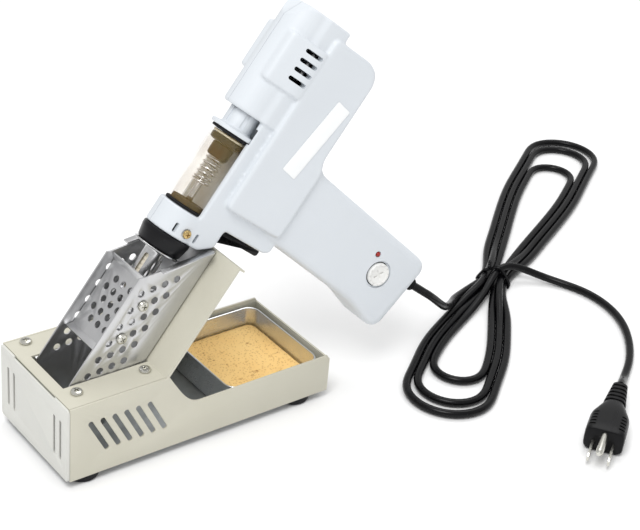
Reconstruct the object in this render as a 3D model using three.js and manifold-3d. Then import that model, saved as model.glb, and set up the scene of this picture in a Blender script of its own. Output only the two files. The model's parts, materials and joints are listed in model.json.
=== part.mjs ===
// A vacuum desoldering gun in its bench stand: a sheet-metal base with a perforated cradle and a
// sponge tray, and a pistol-shaped gun with a clear solder filter tube, a trigger, a temperature
// dial and a mains cord. Millimetres, +Z up, resting on its four rubber feet.
import * as THREE from "three";
import { mergeVertices } from "three/addons/utils/BufferGeometryUtils.js";
import Module from "manifold-3d";

const wasm = await Module();
wasm.setup();

// ---------------------------------------------------------------- driving dimensions
const GAP = 0.3; // clearance between touching pieces
const SHEET = 1.2; // steel sheet of the base
const CRADLE_SHEET = 1.0; // stainless sheet of the cradle
const FOOT_HEIGHT = 5;
const FOOT_RADIUS = 10.5;
const FOOT_INSET_X = 15;
const FOOT_INSET_Y = 10.9;
const BASE_LENGTH = 186;
const BASE_WIDTH = 80;
const DECK_HEIGHT = 54.8; // top of the deck above the bench
const DECK_LENGTH = 66.6; // front edge to the bend of the back plate
const SIDE_WALL_TOP = 31.4; // low part of the side walls
const END_WALL_TOP = 28.8;
const LOW_WALL_START = 89; // where the side wall has come down to its low part
const SLOPE = THREE.MathUtils.degToRad(52.5); // barrel, cradle and back plate
const GUN_ROLL = THREE.MathUtils.degToRad(8); // the gun lies a little turned about its barrel
const BARREL_X = 87.5; // point of the barrel axis where nose and collar meet
const BARREL_Z = 126.4;
const SLOT_PITCH = 7.8; // slanted side vents
const SLOT_COUNT = 6;
const SLOT_RADIUS = 1.6;
const FRONT_SLOT_WIDTH = 2.4;

const NOSE_RADIUS = 15.3; // round front of the gun's housing
const CRADLE_CLEARANCE = 2; // between the gun's nose and each cradle wall
const CRADLE_WIDTH = 2 * (NOSE_RADIUS + CRADLE_CLEARANCE + CRADLE_SHEET); // over both walls
const CRADLE_BACK = -25.2; // back of the channel, measured from the barrel axis
const CRADLE_FRONT = 15.2; // front edge of the walls
const CRADLE_FOOT = -118; // where the channel ends inside the base, along the barrel
const HOLE_RADIUS = 2.3;
const WALL_HOLE_PITCH = 11.3;
const WALL_HOLE_START = -93.2;
const WALL_HOLE_TOP = 7.6;
const COVER_HEIGHT = 8.2;
const COVER_START = -77;
const COVER_END = -30;
const COVER_ROW = 6.8;
const COVER_COLUMN = 3.9;
const COVER_HOLE_START = -66.7;
const BACK_PLATE_TOP = 5.7;
const BACK_PLATE_LIP = 5;

const TRAY_X0 = 113;
const TRAY_MARGIN = 3; // tray rim to the outside of the side walls
const TRAY_END_MARGIN = 5; // tray rim to the end of the base
const TRAY_X1 = BASE_LENGTH - TRAY_END_MARGIN;
const TRAY_WIDTH = BASE_WIDTH - 2 * TRAY_MARGIN;
const TRAY_HEIGHT = 21.5;
const TRAY_CORNER = 8;
const TRAY_SHEET = 0.8;
const SPONGE_HEIGHT = 9;

const WALL = 2.4; // moulded housing
const NOSE_LENGTH = 16.7;
const TUBE_RADIUS = 12.2;
const TUBE_WALL = 1.5;
const TUBE_LENGTH = 47;
const GASKET = 1.6;
const TUBE_START = NOSE_LENGTH + GASKET + 2 * GAP;
const TUBE_END = TUBE_START + TUBE_LENGTH;
const SLIDER_FACE = TUBE_END + GASKET + 2 * GAP;
const SLIDER_TRAVEL = 6;
const FLANGE = 2.6; // thickness of the slider's flange
const BLOCK_FRONT = 82; // front face of the rear block
const BLOCK_BACK = 152.6;
const PANEL_HALF = 20; // half thickness of the main body
const GRIP_HALF = 17;
const COLLAR_LENGTH = 10.5;
const COLLAR_TIP_RADIUS = 14;
const SHROUD_RADIUS = 6.9;
const SHROUD_LENGTH = 34;
const PIPE_RADIUS = 1.7;
const PIPE_BORE = 0.8;
const NOZZLE_LENGTH = 16;
const STUB_RADIUS = 9.4; // release slider's stem
const FLANGE_RADIUS = 14.6;
const TRIGGER_WIDTH = 9;
const DIAL_RADIUS = 7.6;
const DIAL_A = 43;
const DIAL_H = -140;
const LED_A = 53.7;
const LED_H = -130.5;
const CAM_RADIUS = 6;
const CAM_THROW = 1.5;

const CORD_DIAMETER = 5.4;
const CORD_SIDES = 8;

// ---------------------------------------------------------------- materials
const finish = (color, roughness, metalness = 0, more = {}) =>
  new THREE.MeshStandardMaterial({ color, roughness, metalness, ...more });
const MAT = {
  paint: finish(0xc9c6b4, 0.55),
  frontPaint: finish(0xc8c8c4, 0.5),
  zinc: finish(0xbcc3cb, 0.35, 0.9),
  stainless: finish(0xc7c8c9, 0.3, 1),
  screw: finish(0xc9c9c4, 0.25, 1),
  brass: finish(0xb59a5a, 0.35, 1),
  rubber: finish(0x202124, 0.8),
  sponge: finish(0xf0b35a, 0.95),
  housing: finish(0xd5dade, 0.5),
  black: finish(0x1b1c1e, 0.5),
  clear: finish(0xd9cfae, 0.1, 0, { transparent: true, opacity: 0.4 }),
  steel: finish(0xa8a8aa, 0.3, 1),
  ceramic: finish(0xe8e4d8, 0.8),
  board: finish(0x2c6b3c, 0.6),
  dial: finish(0xe9e9e6, 0.4),
  led: finish(0x8a1c18, 0.3),
  label: finish(0xf1f2f2, 0.6),
  cord: finish(0x141416, 0.45),
};

// ---------------------------------------------------------------- solids
const UP = new THREE.Vector3(0, 0, 1);

// A closed geometry as a manifold solid.
function solid(geometry) {
  const bare = geometry.index ? geometry.toNonIndexed() : geometry.clone();
  bare.deleteAttribute("normal");
  bare.deleteAttribute("uv");
  const merged = mergeVertices(bare, 1e-4);
  return new wasm.Manifold(
    new wasm.Mesh({
      numProp: 3,
      vertProperties: merged.attributes.position.array,
      triVerts: new Uint32Array(merged.index.array),
    }),
  );
}

// A manifold solid as a geometry with flat faces.
function geometryOf(body) {
  const { vertProperties, triVerts, numProp } = body.getMesh();
  const points = new Float32Array((vertProperties.length / numProp) * 3);
  for (let i = 0; i < points.length / 3; i++) {
    points.set(vertProperties.subarray(i * numProp, i * numProp + 3), i * 3);
  }
  const geometry = new THREE.BufferGeometry()
    .setAttribute("position", new THREE.BufferAttribute(points, 3))
    .setIndex(new THREE.BufferAttribute(triVerts, 1))
    .toNonIndexed();
  geometry.computeVertexNormals();
  return geometry;
}

const join = (...parts) => parts.map(asSolid).reduce((sum, part) => sum.add(part));
const cut = (body, ...tools) => tools.map(asSolid).reduce((left, tool) => left.subtract(tool), asSolid(body));

function asSolid(part) {
  return part.isBufferGeometry ? solid(part) : part;
}

function box(x0, x1, y0, y1, z0, z1) {
  return new THREE.BoxGeometry(x1 - x0, y1 - y0, z1 - z0).translate(
    (x0 + x1) / 2,
    (y0 + y1) / 2,
    (z0 + z1) / 2,
  );
}

// A flat outline drawn in X and Z, given its thickness from y0 to y1.
function sideProfile(outline, y0, y1, curveSegments = 6) {
  const shape = Array.isArray(outline) ? new THREE.Shape(outline.map((p) => new THREE.Vector2(...p))) : outline;
  return new THREE.ExtrudeGeometry(shape, { depth: y1 - y0, bevelEnabled: false, curveSegments })
    .rotateX(Math.PI / 2)
    .translate(0, y1, 0);
}

// A flat outline drawn in X and Y, given its height from z0 to z1.
function planProfile(shape, z0, z1, curveSegments = 6) {
  return new THREE.ExtrudeGeometry(shape, { depth: z1 - z0, bevelEnabled: false, curveSegments }).translate(
    0,
    0,
    z0,
  );
}

// A closed profile of [radius, along] points turned about an axis: "x", "y" or "z".
function turned(profile, axis = "x", segments = 24) {
  const points = profile.map(([r, along]) => new THREE.Vector2(r, along));
  const geometry = new THREE.LatheGeometry(points, segments);
  if (axis === "x") {
    geometry.rotateZ(-Math.PI / 2);
  }
  if (axis === "z") {
    geometry.rotateX(Math.PI / 2);
  }
  const made = solid(geometry);
  return made.volume() < 0 ? solid(flipped(geometry)) : made;
}

function flipped(geometry) {
  const copy = geometry.clone();
  const index = copy.index.array;
  for (let i = 0; i < index.length; i += 3) {
    [index[i + 1], index[i + 2]] = [index[i + 2], index[i + 1]];
  }
  return copy;
}

function ring(outer, inner, from, to, axis = "x", segments = 24) {
  return turned(
    [
      [inner, from],
      [outer, from],
      [outer, to],
      [inner, to],
      [inner, from],
    ],
    axis,
    segments,
  );
}

function rod(radius, from, to, axis = "x", segments = 20) {
  const geometry = new THREE.CylinderGeometry(radius, radius, to - from, segments);
  geometry.translate(0, (from + to) / 2, 0);
  if (axis === "x") {
    geometry.rotateZ(-Math.PI / 2);
  }
  if (axis === "z") {
    geometry.rotateX(Math.PI / 2);
  }
  return geometry;
}

function roundedRectangle(x0, x1, y0, y1, radius) {
  const shape = new THREE.Shape();
  shape.moveTo(x0 + radius, y0);
  shape.lineTo(x1 - radius, y0);
  shape.absarc(x1 - radius, y0 + radius, radius, -Math.PI / 2, 0);
  shape.lineTo(x1, y1 - radius);
  shape.absarc(x1 - radius, y1 - radius, radius, 0, Math.PI / 2);
  shape.lineTo(x0 + radius, y1);
  shape.absarc(x0 + radius, y1 - radius, radius, Math.PI / 2, Math.PI);
  shape.lineTo(x0, y0 + radius);
  shape.absarc(x0 + radius, y0 + radius, radius, Math.PI, 1.5 * Math.PI);
  return shape;
}

// A slot with round ends between two points.
function slotShape([ax, ay], [bx, by], radius) {
  const angle = Math.atan2(by - ay, bx - ax);
  const shape = new THREE.Shape();
  shape.absarc(bx, by, radius, angle - Math.PI / 2, angle + Math.PI / 2);
  shape.absarc(ax, ay, radius, angle + Math.PI / 2, angle + 1.5 * Math.PI);
  return shape;
}

function circleShape(x, y, radius) {
  return new THREE.Shape().absarc(x, y, radius, 0, 2 * Math.PI);
}

// The outline moved inwards by a distance; the outline runs anticlockwise.
function inset(outline, distance) {
  const count = outline.length;
  const edges = outline.map(([x, z], i) => {
    const [nx, nz] = outline[(i + 1) % count];
    const length = Math.hypot(nx - x, nz - z);
    const dx = (nx - x) / length;
    const dz = (nz - z) / length;
    return { x: x - dz * distance, z: z + dx * distance, dx, dz };
  });
  return edges.map((edge, i) => {
    const before = edges[(i + count - 1) % count];
    const cross = before.dx * edge.dz - before.dz * edge.dx;
    const along = ((edge.x - before.x) * edge.dz - (edge.z - before.z) * edge.dx) / cross;
    return [before.x + before.dx * along, before.z + before.dz * along];
  });
}

// A round bar swept along a curve.
function swept(curve, radius, steps, sides = CORD_SIDES) {
  const section = new THREE.Shape();
  for (let i = 0; i < sides; i++) {
    const angle = (2 * Math.PI * i) / sides;
    const x = radius * Math.cos(angle);
    const y = radius * Math.sin(angle);
    if (i === 0) {
      section.moveTo(x, y);
    } else {
      section.lineTo(x, y);
    }
  }
  return new THREE.ExtrudeGeometry(section, { steps, bevelEnabled: false, extrudePath: curve });
}

class Helix extends THREE.Curve {
  constructor(radius, from, to, turns) {
    super();
    Object.assign(this, { radius, from, to, turns });
  }
  getPoint(t, target = new THREE.Vector3()) {
    const angle = 2 * Math.PI * this.turns * t;
    const along = this.from + (this.to - this.from) * t;
    return target.set(along, this.radius * Math.cos(angle), this.radius * Math.sin(angle));
  }
}

// A coil spring about the X axis.
function coilSpring(radius, wire, from, to, turns) {
  const stepsPerTurn = 10;
  return swept(new Helix(radius, from, to, turns), wire / 2, turns * stepsPerTurn, 5);
}

// ---------------------------------------------------------------- scene graph
const model = new THREE.Group();
const stand = new THREE.Group();
const cradle = new THREE.Group();
const gun = new THREE.Group();
const cord = new THREE.Group();
model.add(stand, cradle, gun, cord);
cradle.position.set(BARREL_X, 0, BARREL_Z);
cradle.rotation.y = -SLOPE;
gun.position.set(BARREL_X, 0, BARREL_Z);
gun.rotation.set(-GUN_ROLL, -SLOPE, 0, "YXZ");
model.updateMatrixWorld(true);

function add(group, name, part, material) {
  const geometry = part.isBufferGeometry ? part : geometryOf(part);
  const mesh = new THREE.Mesh(geometry, material);
  mesh.name = name;
  group.add(mesh);
  return mesh;
}

// A point of the cradle's frame (along the barrel, across, off the barrel) in the stand's frame.
const fromCradle = (along, across, off) => cradle.localToWorld(new THREE.Vector3(along, across, off));
const fromGun = (along, across, off) => gun.localToWorld(new THREE.Vector3(along, across, off));

// ---------------------------------------------------------------- base
const halfWidth = BASE_WIDTH / 2;
const floorZ = FOOT_HEIGHT + GAP;
const wallInner = halfWidth - SHEET;

function buildBase() {
  add(
    stand,
    "bottom_plate",
    box(SHEET + GAP, BASE_LENGTH - SHEET - GAP, GAP - wallInner, wallInner - GAP, floorZ, floorZ + SHEET),
    MAT.zinc,
  );
  add(stand, "side_frame", sideFrame(), MAT.paint);
  add(stand, "front_panel", frontPanel(), MAT.frontPaint);
  const feet = [
    [FOOT_INSET_X, -1],
    [FOOT_INSET_X, 1],
    [BASE_LENGTH - FOOT_INSET_X - 4, -1],
    [BASE_LENGTH - FOOT_INSET_X - 4, 1],
  ];
  feet.forEach(([x, side], i) => {
    add(stand, `foot_${i + 1}`, foot(), MAT.rubber).position.set(x, side * (halfWidth - FOOT_INSET_Y), 0);
  });
}

function foot() {
  const flat = FOOT_RADIUS * 0.88;
  return turned(
    [
      [0, 0],
      [flat, 0],
      [FOOT_RADIUS * 0.97, FOOT_HEIGHT * 0.12],
      [FOOT_RADIUS, FOOT_HEIGHT * 0.36],
      [FOOT_RADIUS, FOOT_HEIGHT],
      [0, FOOT_HEIGHT],
    ],
    "z",
    24,
  );
}

// The outline of one side wall, with the S-shaped drop behind the deck.
function sideWallOutline() {
  const shape = new THREE.Shape();
  const drop = DECK_HEIGHT - SIDE_WALL_TOP;
  shape.moveTo(SHEET + GAP, FOOT_HEIGHT);
  shape.lineTo(BASE_LENGTH, FOOT_HEIGHT);
  shape.lineTo(BASE_LENGTH, END_WALL_TOP - 1);
  shape.lineTo(BASE_LENGTH - 2, SIDE_WALL_TOP);
  shape.lineTo(LOW_WALL_START, SIDE_WALL_TOP);
  shape.bezierCurveTo(
    LOW_WALL_START - 8,
    SIDE_WALL_TOP,
    DECK_LENGTH + 9,
    DECK_HEIGHT - drop * 0.62,
    DECK_LENGTH,
    DECK_HEIGHT,
  );
  shape.lineTo(SHEET + GAP, DECK_HEIGHT);
  return shape;
}

function sideFrame() {
  const wall = sideProfile(sideWallOutline(), -SHEET, 0, 8);
  const slots = [];
  for (let i = 0; i < SLOT_COUNT; i++) {
    const x = 14.6 + i * SLOT_PITCH;
    slots.push(sideProfile(slotShape([x, 41], [x + 10.8, 20.8], SLOT_RADIUS), -SHEET - 1, 1, 3));
  }
  const slotted = cut(wall, ...slots);
  const near = slotted.translate(0, -wallInner, 0);
  const far = slotted.translate(0, halfWidth, 0);
  const end = box(BASE_LENGTH - SHEET, BASE_LENGTH, -halfWidth, halfWidth, FOOT_HEIGHT, END_WALL_TOP);
  const corner = BASE_LENGTH - SHEET;
  return join(near, far, end, box(corner, BASE_LENGTH, -halfWidth, -wallInner, FOOT_HEIGHT, END_WALL_TOP));
}

function frontPanel() {
  const outline = roundedRectangle(-halfWidth, halfWidth, FOOT_HEIGHT, DECK_HEIGHT - GAP, 2.5);
  const panel = planProfile(outline, 0, SHEET).rotateX(Math.PI / 2).rotateZ(Math.PI / 2);
  const notchHalf = 24;
  const notch = box(-1, SHEET + 1, -notchHalf, notchHalf, DECK_HEIGHT - 1.6, DECK_HEIGHT + 1);
  const slots = [-31, -24, 24, 31].map((y) =>
    planProfile(slotShape([y, 17.2], [y, 41.8], FRONT_SLOT_WIDTH / 2), -1, SHEET + 1, 3)
      .rotateX(Math.PI / 2)
      .rotateZ(Math.PI / 2),
  );
  return cut(panel, notch, ...slots);
}

// ---------------------------------------------------------------- deck and back plate
const deckBottom = DECK_HEIGHT - SHEET;
const cradleHalf = CRADLE_WIDTH / 2;
const plateFront = CRADLE_BACK - GAP;

function buildHolder() {
  const deckHalf = wallInner - GAP;
  const bend = meetsLevel(plateFront, deckBottom);
  const deck = box(SHEET + GAP, bend + SHEET, -deckHalf, deckHalf, deckBottom, DECK_HEIGHT);
  const opening = box(
    cradleFootprint(CRADLE_FRONT) - 4,
    meetsLevel(plateFront, DECK_HEIGHT),
    -cradleHalf - 0.8,
    cradleHalf + 0.8,
    deckBottom - 1,
    DECK_HEIGHT + 1,
  );
  const start = levelAlong(plateFront, deckBottom);
  const plate = placed(
    box(start, BACK_PLATE_TOP, -halfWidth, halfWidth, plateFront - SHEET, plateFront),
    cradle,
  );
  const lip = placed(
    box(
      BACK_PLATE_TOP - SHEET,
      BACK_PLATE_TOP,
      -halfWidth,
      halfWidth,
      plateFront - BACK_PLATE_LIP,
      plateFront - 0.01,
    ),
    cradle,
  );
  const below = box(0, BASE_LENGTH, -halfWidth - 1, halfWidth + 1, 0, deckBottom);
  const overWalls = [-halfWidth - 1, deckHalf].map((y) => box(0, BASE_LENGTH, y, y + 3, 0, DECK_HEIGHT + GAP));
  const holder = join(cut(deck, opening), cut(plate, below, ...overWalls), lip);
  const screwHoles = DECK_SCREWS.map(([x, y]) => placedRod(1.6, deckBottom - 1, DECK_HEIGHT + 1, x, y));
  add(stand, "holder_plate", cut(holder, ...screwHoles), MAT.paint);
  DECK_SCREWS.forEach(([x, y], i) => {
    add(stand, `deck_screw_${i + 1}`, panScrew(3.7, 2, 1.3, 4), MAT.screw).position.set(x, y, DECK_HEIGHT + GAP);
  });
}

const SCREW_FROM_CRADLE = 8.2; // near screws stand this far from the cradle's wall
const SCREW_FROM_SIDE = 6.5; // far screws stand this far inside the base
const DECK_SCREWS = [
  [13, -cradleHalf - SCREW_FROM_CRADLE],
  [58, -cradleHalf - SCREW_FROM_CRADLE],
  [13, BASE_WIDTH / 2 - SCREW_FROM_SIDE],
  [58, BASE_WIDTH / 2 - SCREW_FROM_SIDE],
];

function placedRod(radius, z0, z1, x, y) {
  return rod(radius, z0, z1, "z", 12).translate(x, y, 0);
}

// A part built in a group's frame, moved into the stand's frame.
function placed(geometry, group) {
  return geometry.applyMatrix4(group.matrixWorld);
}

// Where a plane at a distance from the barrel axis crosses a level: its x, and how far along.
function levelAlong(off, level) {
  return (level - BARREL_Z - off * Math.cos(SLOPE)) / Math.sin(SLOPE);
}

function meetsLevel(off, level) {
  return BARREL_X + levelAlong(off, level) * Math.cos(SLOPE) - off * Math.sin(SLOPE);
}

function cradleFootprint(off) {
  return meetsLevel(off, deckBottom);
}

// A pan-head screw with a cross recess, its head's underside at the origin, along +Z.
function panScrew(headRadius, headHeight, shankRadius, shankLength) {
  const head = turned(
    [
      [0, -shankLength],
      [shankRadius, -shankLength],
      [shankRadius, 0],
      [headRadius, 0],
      [headRadius, headHeight * 0.45],
      [headRadius * 0.72, headHeight * 0.88],
      [headRadius * 0.3, headHeight],
      [0, headHeight],
    ],
    "z",
    16,
  );
  const arm = headRadius * 0.55;
  const width = headRadius * 0.14;
  const cross = join(
    box(-arm, arm, -width, width, headHeight * 0.5, headHeight + 1),
    box(-width, width, -arm, arm, headHeight * 0.5, headHeight + 1),
  );
  return cut(head, cross);
}

// ---------------------------------------------------------------- cradle
const wallScrews = [
  [WALL_HOLE_START + WALL_HOLE_PITCH * 2.5, WALL_HOLE_TOP - WALL_HOLE_PITCH / 2],
  [WALL_HOLE_START + WALL_HOLE_PITCH * 4.5, WALL_HOLE_TOP - WALL_HOLE_PITCH / 2],
];

function wallHoles() {
  const holes = [];
  for (let row = 0; row < 4; row++) {
    for (let i = 0; i < 6; i++) {
      const along = WALL_HOLE_START + WALL_HOLE_PITCH * (i + row / 2);
      const off = WALL_HOLE_TOP - (WALL_HOLE_PITCH / 2) * row;
      const isScrew = wallScrews.some(([a]) => row === 1 && Math.abs(a - along) < 1);
      holes.push([along, off, isScrew ? 1.7 : HOLE_RADIUS]);
    }
  }
  return holes;
}

function cradleWallOutline() {
  const bottom = CRADLE_FOOT;
  const topBack = BACK_PLATE_TOP - 1;
  const shape = new THREE.Shape();
  shape.moveTo(bottom, CRADLE_BACK);
  shape.lineTo(topBack - 1, CRADLE_BACK);
  shape.lineTo(topBack, CRADLE_BACK + 4);
  shape.lineTo(topBack - 34, CRADLE_FRONT - 2);
  shape.absarc(topBack - 37.5, CRADLE_FRONT - 4, 4, Math.PI / 4, Math.PI / 2);
  shape.lineTo(bottom, CRADLE_FRONT);
  return shape;
}

function buildCradle() {
  const inner = cradleHalf - CRADLE_SHEET;
  const wall = cut(
    sideProfile(cradleWallOutline(), -CRADLE_SHEET, 0),
    ...wallHoles().map(([a, h, r]) => sideProfile(circleShape(a, h, r), -CRADLE_SHEET - 1, 1, 4)),
  );
  const back = box(CRADLE_FOOT, BACK_PLATE_TOP - 2, -cradleHalf, cradleHalf, CRADLE_BACK, CRADLE_BACK + CRADLE_SHEET);
  const flange = sideProfile(
    [
      [BACK_PLATE_TOP - 2, CRADLE_BACK + 5],
      [BACK_PLATE_TOP - 1.2, CRADLE_BACK + 5.6],
      [BACK_PLATE_TOP - 25, CRADLE_BACK + 30.6],
      [BACK_PLATE_TOP - 25.8, CRADLE_BACK + 30],
    ],
    0,
    4,
  );
  const farFlange = solid(flange).translate(0, cradleHalf - 0.4, 0);
  const nearFlange = solid(flange).translate(0, -cradleHalf - 3.6, 0);
  const channel = join(
    wall.translate(0, cradleHalf, 0),
    wall.translate(0, -inner, 0),
    back,
    farFlange,
    nearFlange,
  );
  add(cradle, "cradle_channel", channel, MAT.stainless);
  add(cradle, "cradle_cover", cradleCover(inner - GAP), MAT.stainless);
  let number = 1;
  for (const side of [-1, 1]) {
    for (const [along, off] of wallScrews) {
      const screw = add(cradle, `cradle_screw_${number}`, panScrew(3.4, 2, 1.3, 3.2), MAT.screw);
      screw.position.set(along, side * (cradleHalf + GAP), off);
      screw.rotation.x = side > 0 ? -Math.PI / 2 : Math.PI / 2;
      number += 1;
    }
  }
}

function cradleCover(half) {
  const top = box(COVER_START, COVER_END, -half, half, COVER_HEIGHT - CRADLE_SHEET, COVER_HEIGHT);
  const holes = [];
  for (let row = 0; row < 5; row++) {
    for (let column = -1; column <= 1; column++) {
      const shift = row % 2 ? 0.5 : -0.5;
      const across = COVER_COLUMN * (2 * column + shift);
      holes.push(placedCircle(COVER_HOLE_START + COVER_ROW * row, across));
    }
  }
  const depth = 10;
  const sides = [-1, 1].map((side) => {
    const y0 = side > 0 ? half - CRADLE_SHEET : -half;
    const flange = box(COVER_START + 1, COVER_END - 1, y0, y0 + CRADLE_SHEET, COVER_HEIGHT - depth, COVER_HEIGHT);
    return cut(flange, ...wallScrews.map(([a, h]) => rod(1.7, y0 - 1, y0 + 2, "y", 12).translate(a, 0, h)));
  });
  const lips = [
    [COVER_START, -1],
    [COVER_END, 1],
  ].map(([along, way]) =>
    sideProfile(
      way > 0
        ? [
            [along - 1.2, COVER_HEIGHT - CRADLE_SHEET],
            [along + 2.4, COVER_HEIGHT + 2.6],
            [along + 1.6, COVER_HEIGHT + 3.4],
            [along - 1.8, COVER_HEIGHT],
          ]
        : [
            [along + 1.2, COVER_HEIGHT - CRADLE_SHEET],
            [along + 1.8, COVER_HEIGHT],
            [along - 1.6, COVER_HEIGHT + 3.4],
            [along - 2.4, COVER_HEIGHT + 2.6],
          ],
      -half,
      half,
    ),
  );
  return join(cut(top, ...holes), ...sides, ...lips);
}

function placedCircle(along, across) {
  return rod(HOLE_RADIUS, COVER_HEIGHT - 3, COVER_HEIGHT + 2, "z", 8).translate(along, across, 0);
}

// ---------------------------------------------------------------- sponge tray
function buildTray() {
  const half = TRAY_WIDTH / 2;
  const base = floorZ + SHEET + GAP;
  const outer = planProfile(roundedRectangle(TRAY_X0, TRAY_X1, -half, half, TRAY_CORNER), base, base + TRAY_HEIGHT);
  const t = TRAY_SHEET;
  const inner = planProfile(
    roundedRectangle(TRAY_X0 + t, TRAY_X1 - t, -half + t, half - t, TRAY_CORNER - t),
    base + t,
    base + TRAY_HEIGHT + 1,
  );
  add(stand, "sponge_tray", cut(outer, inner), MAT.stainless);
  const clear = t + 0.6;
  const sponge = planProfile(
    roundedRectangle(TRAY_X0 + clear, TRAY_X1 - clear, -half + clear, half - clear, TRAY_CORNER - clear),
    base + t + GAP,
    base + t + GAP + SPONGE_HEIGHT,
  );
  add(stand, "sponge", sponge, MAT.sponge);
}

// ---------------------------------------------------------------- gun housing
const THROAT_LEVEL = -23.4; // underside of the nose, above the trigger's arm
const FRONT_FACE = 17.7; // face that the trigger stands in front of

const throatOutline = [
  [0, -8],
  [0, -14],
  [6, THROAT_LEVEL],
  [FRONT_FACE, THROAT_LEVEL],
  [FRONT_FACE, -56],
  [20, -60],
  [34, -60],
  [34, -12],
  [90, -12],
  [90, -3.7],
  [NOSE_LENGTH, -3.7],
  [NOSE_LENGTH, 0],
  [6, 0],
];
const panelOutline = [
  [30, -14.5],
  [30, -57],
  [76, -57],
  [83.4, -52.9],
  [136, -52.9],
  [142.5, -50],
  [146, -43],
  [146, -12.3],
  [32, -12.3],
];
const gripOutline = [
  [24.7, -54],
  [24.7, -62],
  [18.6, -134],
  [11.7, -158],
  [13, -163],
  [17, -166],
  [59, -172.4],
  [64, -169.6],
  [65.4, -165],
  [76.4, -62],
  [84, -54],
  [84, -40],
  [30, -40],
];
const blockOutline = [
  [BLOCK_FRONT, -20],
  [BLOCK_BACK - 2, -20],
  [BLOCK_BACK, -13],
  [BLOCK_BACK, 9],
  [141, NOSE_RADIUS],
  [BLOCK_FRONT, NOSE_RADIUS],
];

// The whole outer form, or the form a wall's thickness further in.
function housingForm(wall) {
  const body = (outline, half) => solid(sideProfile(inset(outline, wall), -half + wall, half - wall));
  const nose = solid(rod(NOSE_RADIUS - wall, wall, NOSE_LENGTH - wall, "x", 32));
  const throat = body(throatOutline, NOSE_RADIUS);
  const panel = body(panelOutline, PANEL_HALF);
  const grip = body(gripOutline, GRIP_HALF);
  const barrel = solid(rod(NOSE_RADIUS - wall, BLOCK_FRONT + wall, BLOCK_BACK - wall, "x", 32));
  const block = join(body(blockOutline, NOSE_RADIUS + 2).intersect(join(barrel, blockSkirt(wall))), ventBlock(wall));
  return join(nose, throat, panel, grip, block);
}

// The rear block below its half-round top.
function blockSkirt(wall) {
  return solid(box(BLOCK_FRONT, BLOCK_BACK, -NOSE_RADIUS - 2 + wall, NOSE_RADIUS + 2 - wall, -30, -1));
}

// The raised block on both sides that carries the cooling slots.
function ventBlock(wall) {
  const section = [
    [-PANEL_HALF - 0.4, -14],
    [PANEL_HALF + 0.4, -14],
    [PANEL_HALF + 0.4, -6],
    [14.7, 12.7],
    [-14.7, 12.7],
    [-PANEL_HALF - 0.4, -6],
  ];
  const shape = new THREE.Shape(inset(section, wall).map(([y, z]) => new THREE.Vector2(y, z)));
  return solid(
    new THREE.ExtrudeGeometry(shape, { depth: 31.4 - 2 * wall, bevelEnabled: false })
      .rotateX(Math.PI / 2)
      .rotateZ(Math.PI / 2)
      .translate(104 + wall, 0, 0),
  );
}

function housingOpenings() {
  const cuts = [
    rod(TUBE_RADIUS + 0.9, NOSE_LENGTH, BLOCK_FRONT - 0.01, "x", 32),
    rod(FLANGE_RADIUS + 0.5, SLIDER_FACE - 0.5, SLIDER_FACE + FLANGE + SLIDER_TRAVEL + 0.5, "x", 32),
    rod(PIPE_RADIUS + 1.2, -1, NOSE_LENGTH + 1, "x", 16),
    rod(STUB_RADIUS + 0.5, BLOCK_FRONT - 1, BLOCK_FRONT + WALL + 1, "x", 32),
    box(FRONT_FACE - 1, FRONT_FACE + WALL + 1.5, -TRIGGER_WIDTH / 2 - 0.6, TRIGGER_WIDTH / 2 + 0.6, -62.5, -28),
    rod(4.4, -180, -160, "z", 24).translate(47.8, 0, 0),
  ];
  const sides = [-1, 1].map((side) => (side < 0 ? [-PANEL_HALF - 2, -10] : [10, PANEL_HALF + 2]));
  for (const [y0, y1] of sides) {
    for (let i = 0; i < 4; i++) {
      const along = 112.5 + 6 * i;
      cuts.push(sideProfile(slotShape([along, 0], [along, -9.6], 1.2), y0, y1, 3));
    }
    for (const h of [6.4, -8.4]) {
      cuts.push(sideProfile(slotShape([3.6, h], [7.4, h], 1), y0, y1, 3));
    }
  }
  cuts.push(rod(DIAL_RADIUS + 0.6, -GRIP_HALF - 1, -GRIP_HALF + WALL + 1, "y", 32).translate(DIAL_A, 0, DIAL_H));
  cuts.push(rod(1.8, -GRIP_HALF - 1, -GRIP_HALF + WALL + 1, "y", 12).translate(LED_A, 0, LED_H));
  cuts.push(rod(1.6, -NOSE_RADIUS - 1, -8, "y", 12).translate(5.5, 0, -1));
  for (const [a, h] of FAR_SCREWS) {
    cuts.push(rod(1.6, 10, PANEL_HALF + 1, "y", 12).translate(a, 0, h));
  }
  return cuts;
}

const FAR_SCREWS = [
  [92, -40, PANEL_HALF],
  [36, -152, GRIP_HALF],
];

function buildHousing() {
  const shell = cut(housingForm(0), housingForm(WALL), ...housingOpenings());
  const nearSide = box(-10, 170, -40, -GAP / 2, -190, 40);
  const farSide = box(-10, 170, GAP / 2, 40, -190, 40);
  add(gun, "housing_left", shell.intersect(solid(nearSide)), MAT.housing);
  add(gun, "housing_right", shell.intersect(solid(farSide)), MAT.housing);
  const noseScrew = add(gun, "nose_screw", panScrew(2.7, 1.6, 1.2, 4), MAT.brass);
  noseScrew.position.set(5.5, -NOSE_RADIUS - 0.5, -1);
  noseScrew.rotation.x = Math.PI / 2;
  FAR_SCREWS.forEach(([a, h, half], i) => {
    const screw = add(gun, `housing_screw_${i + 1}`, panScrew(2.9, 1.6, 1.2, 6), MAT.screw);
    screw.position.set(a, half + GAP, h);
    screw.rotation.x = -Math.PI / 2;
  });
}

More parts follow.
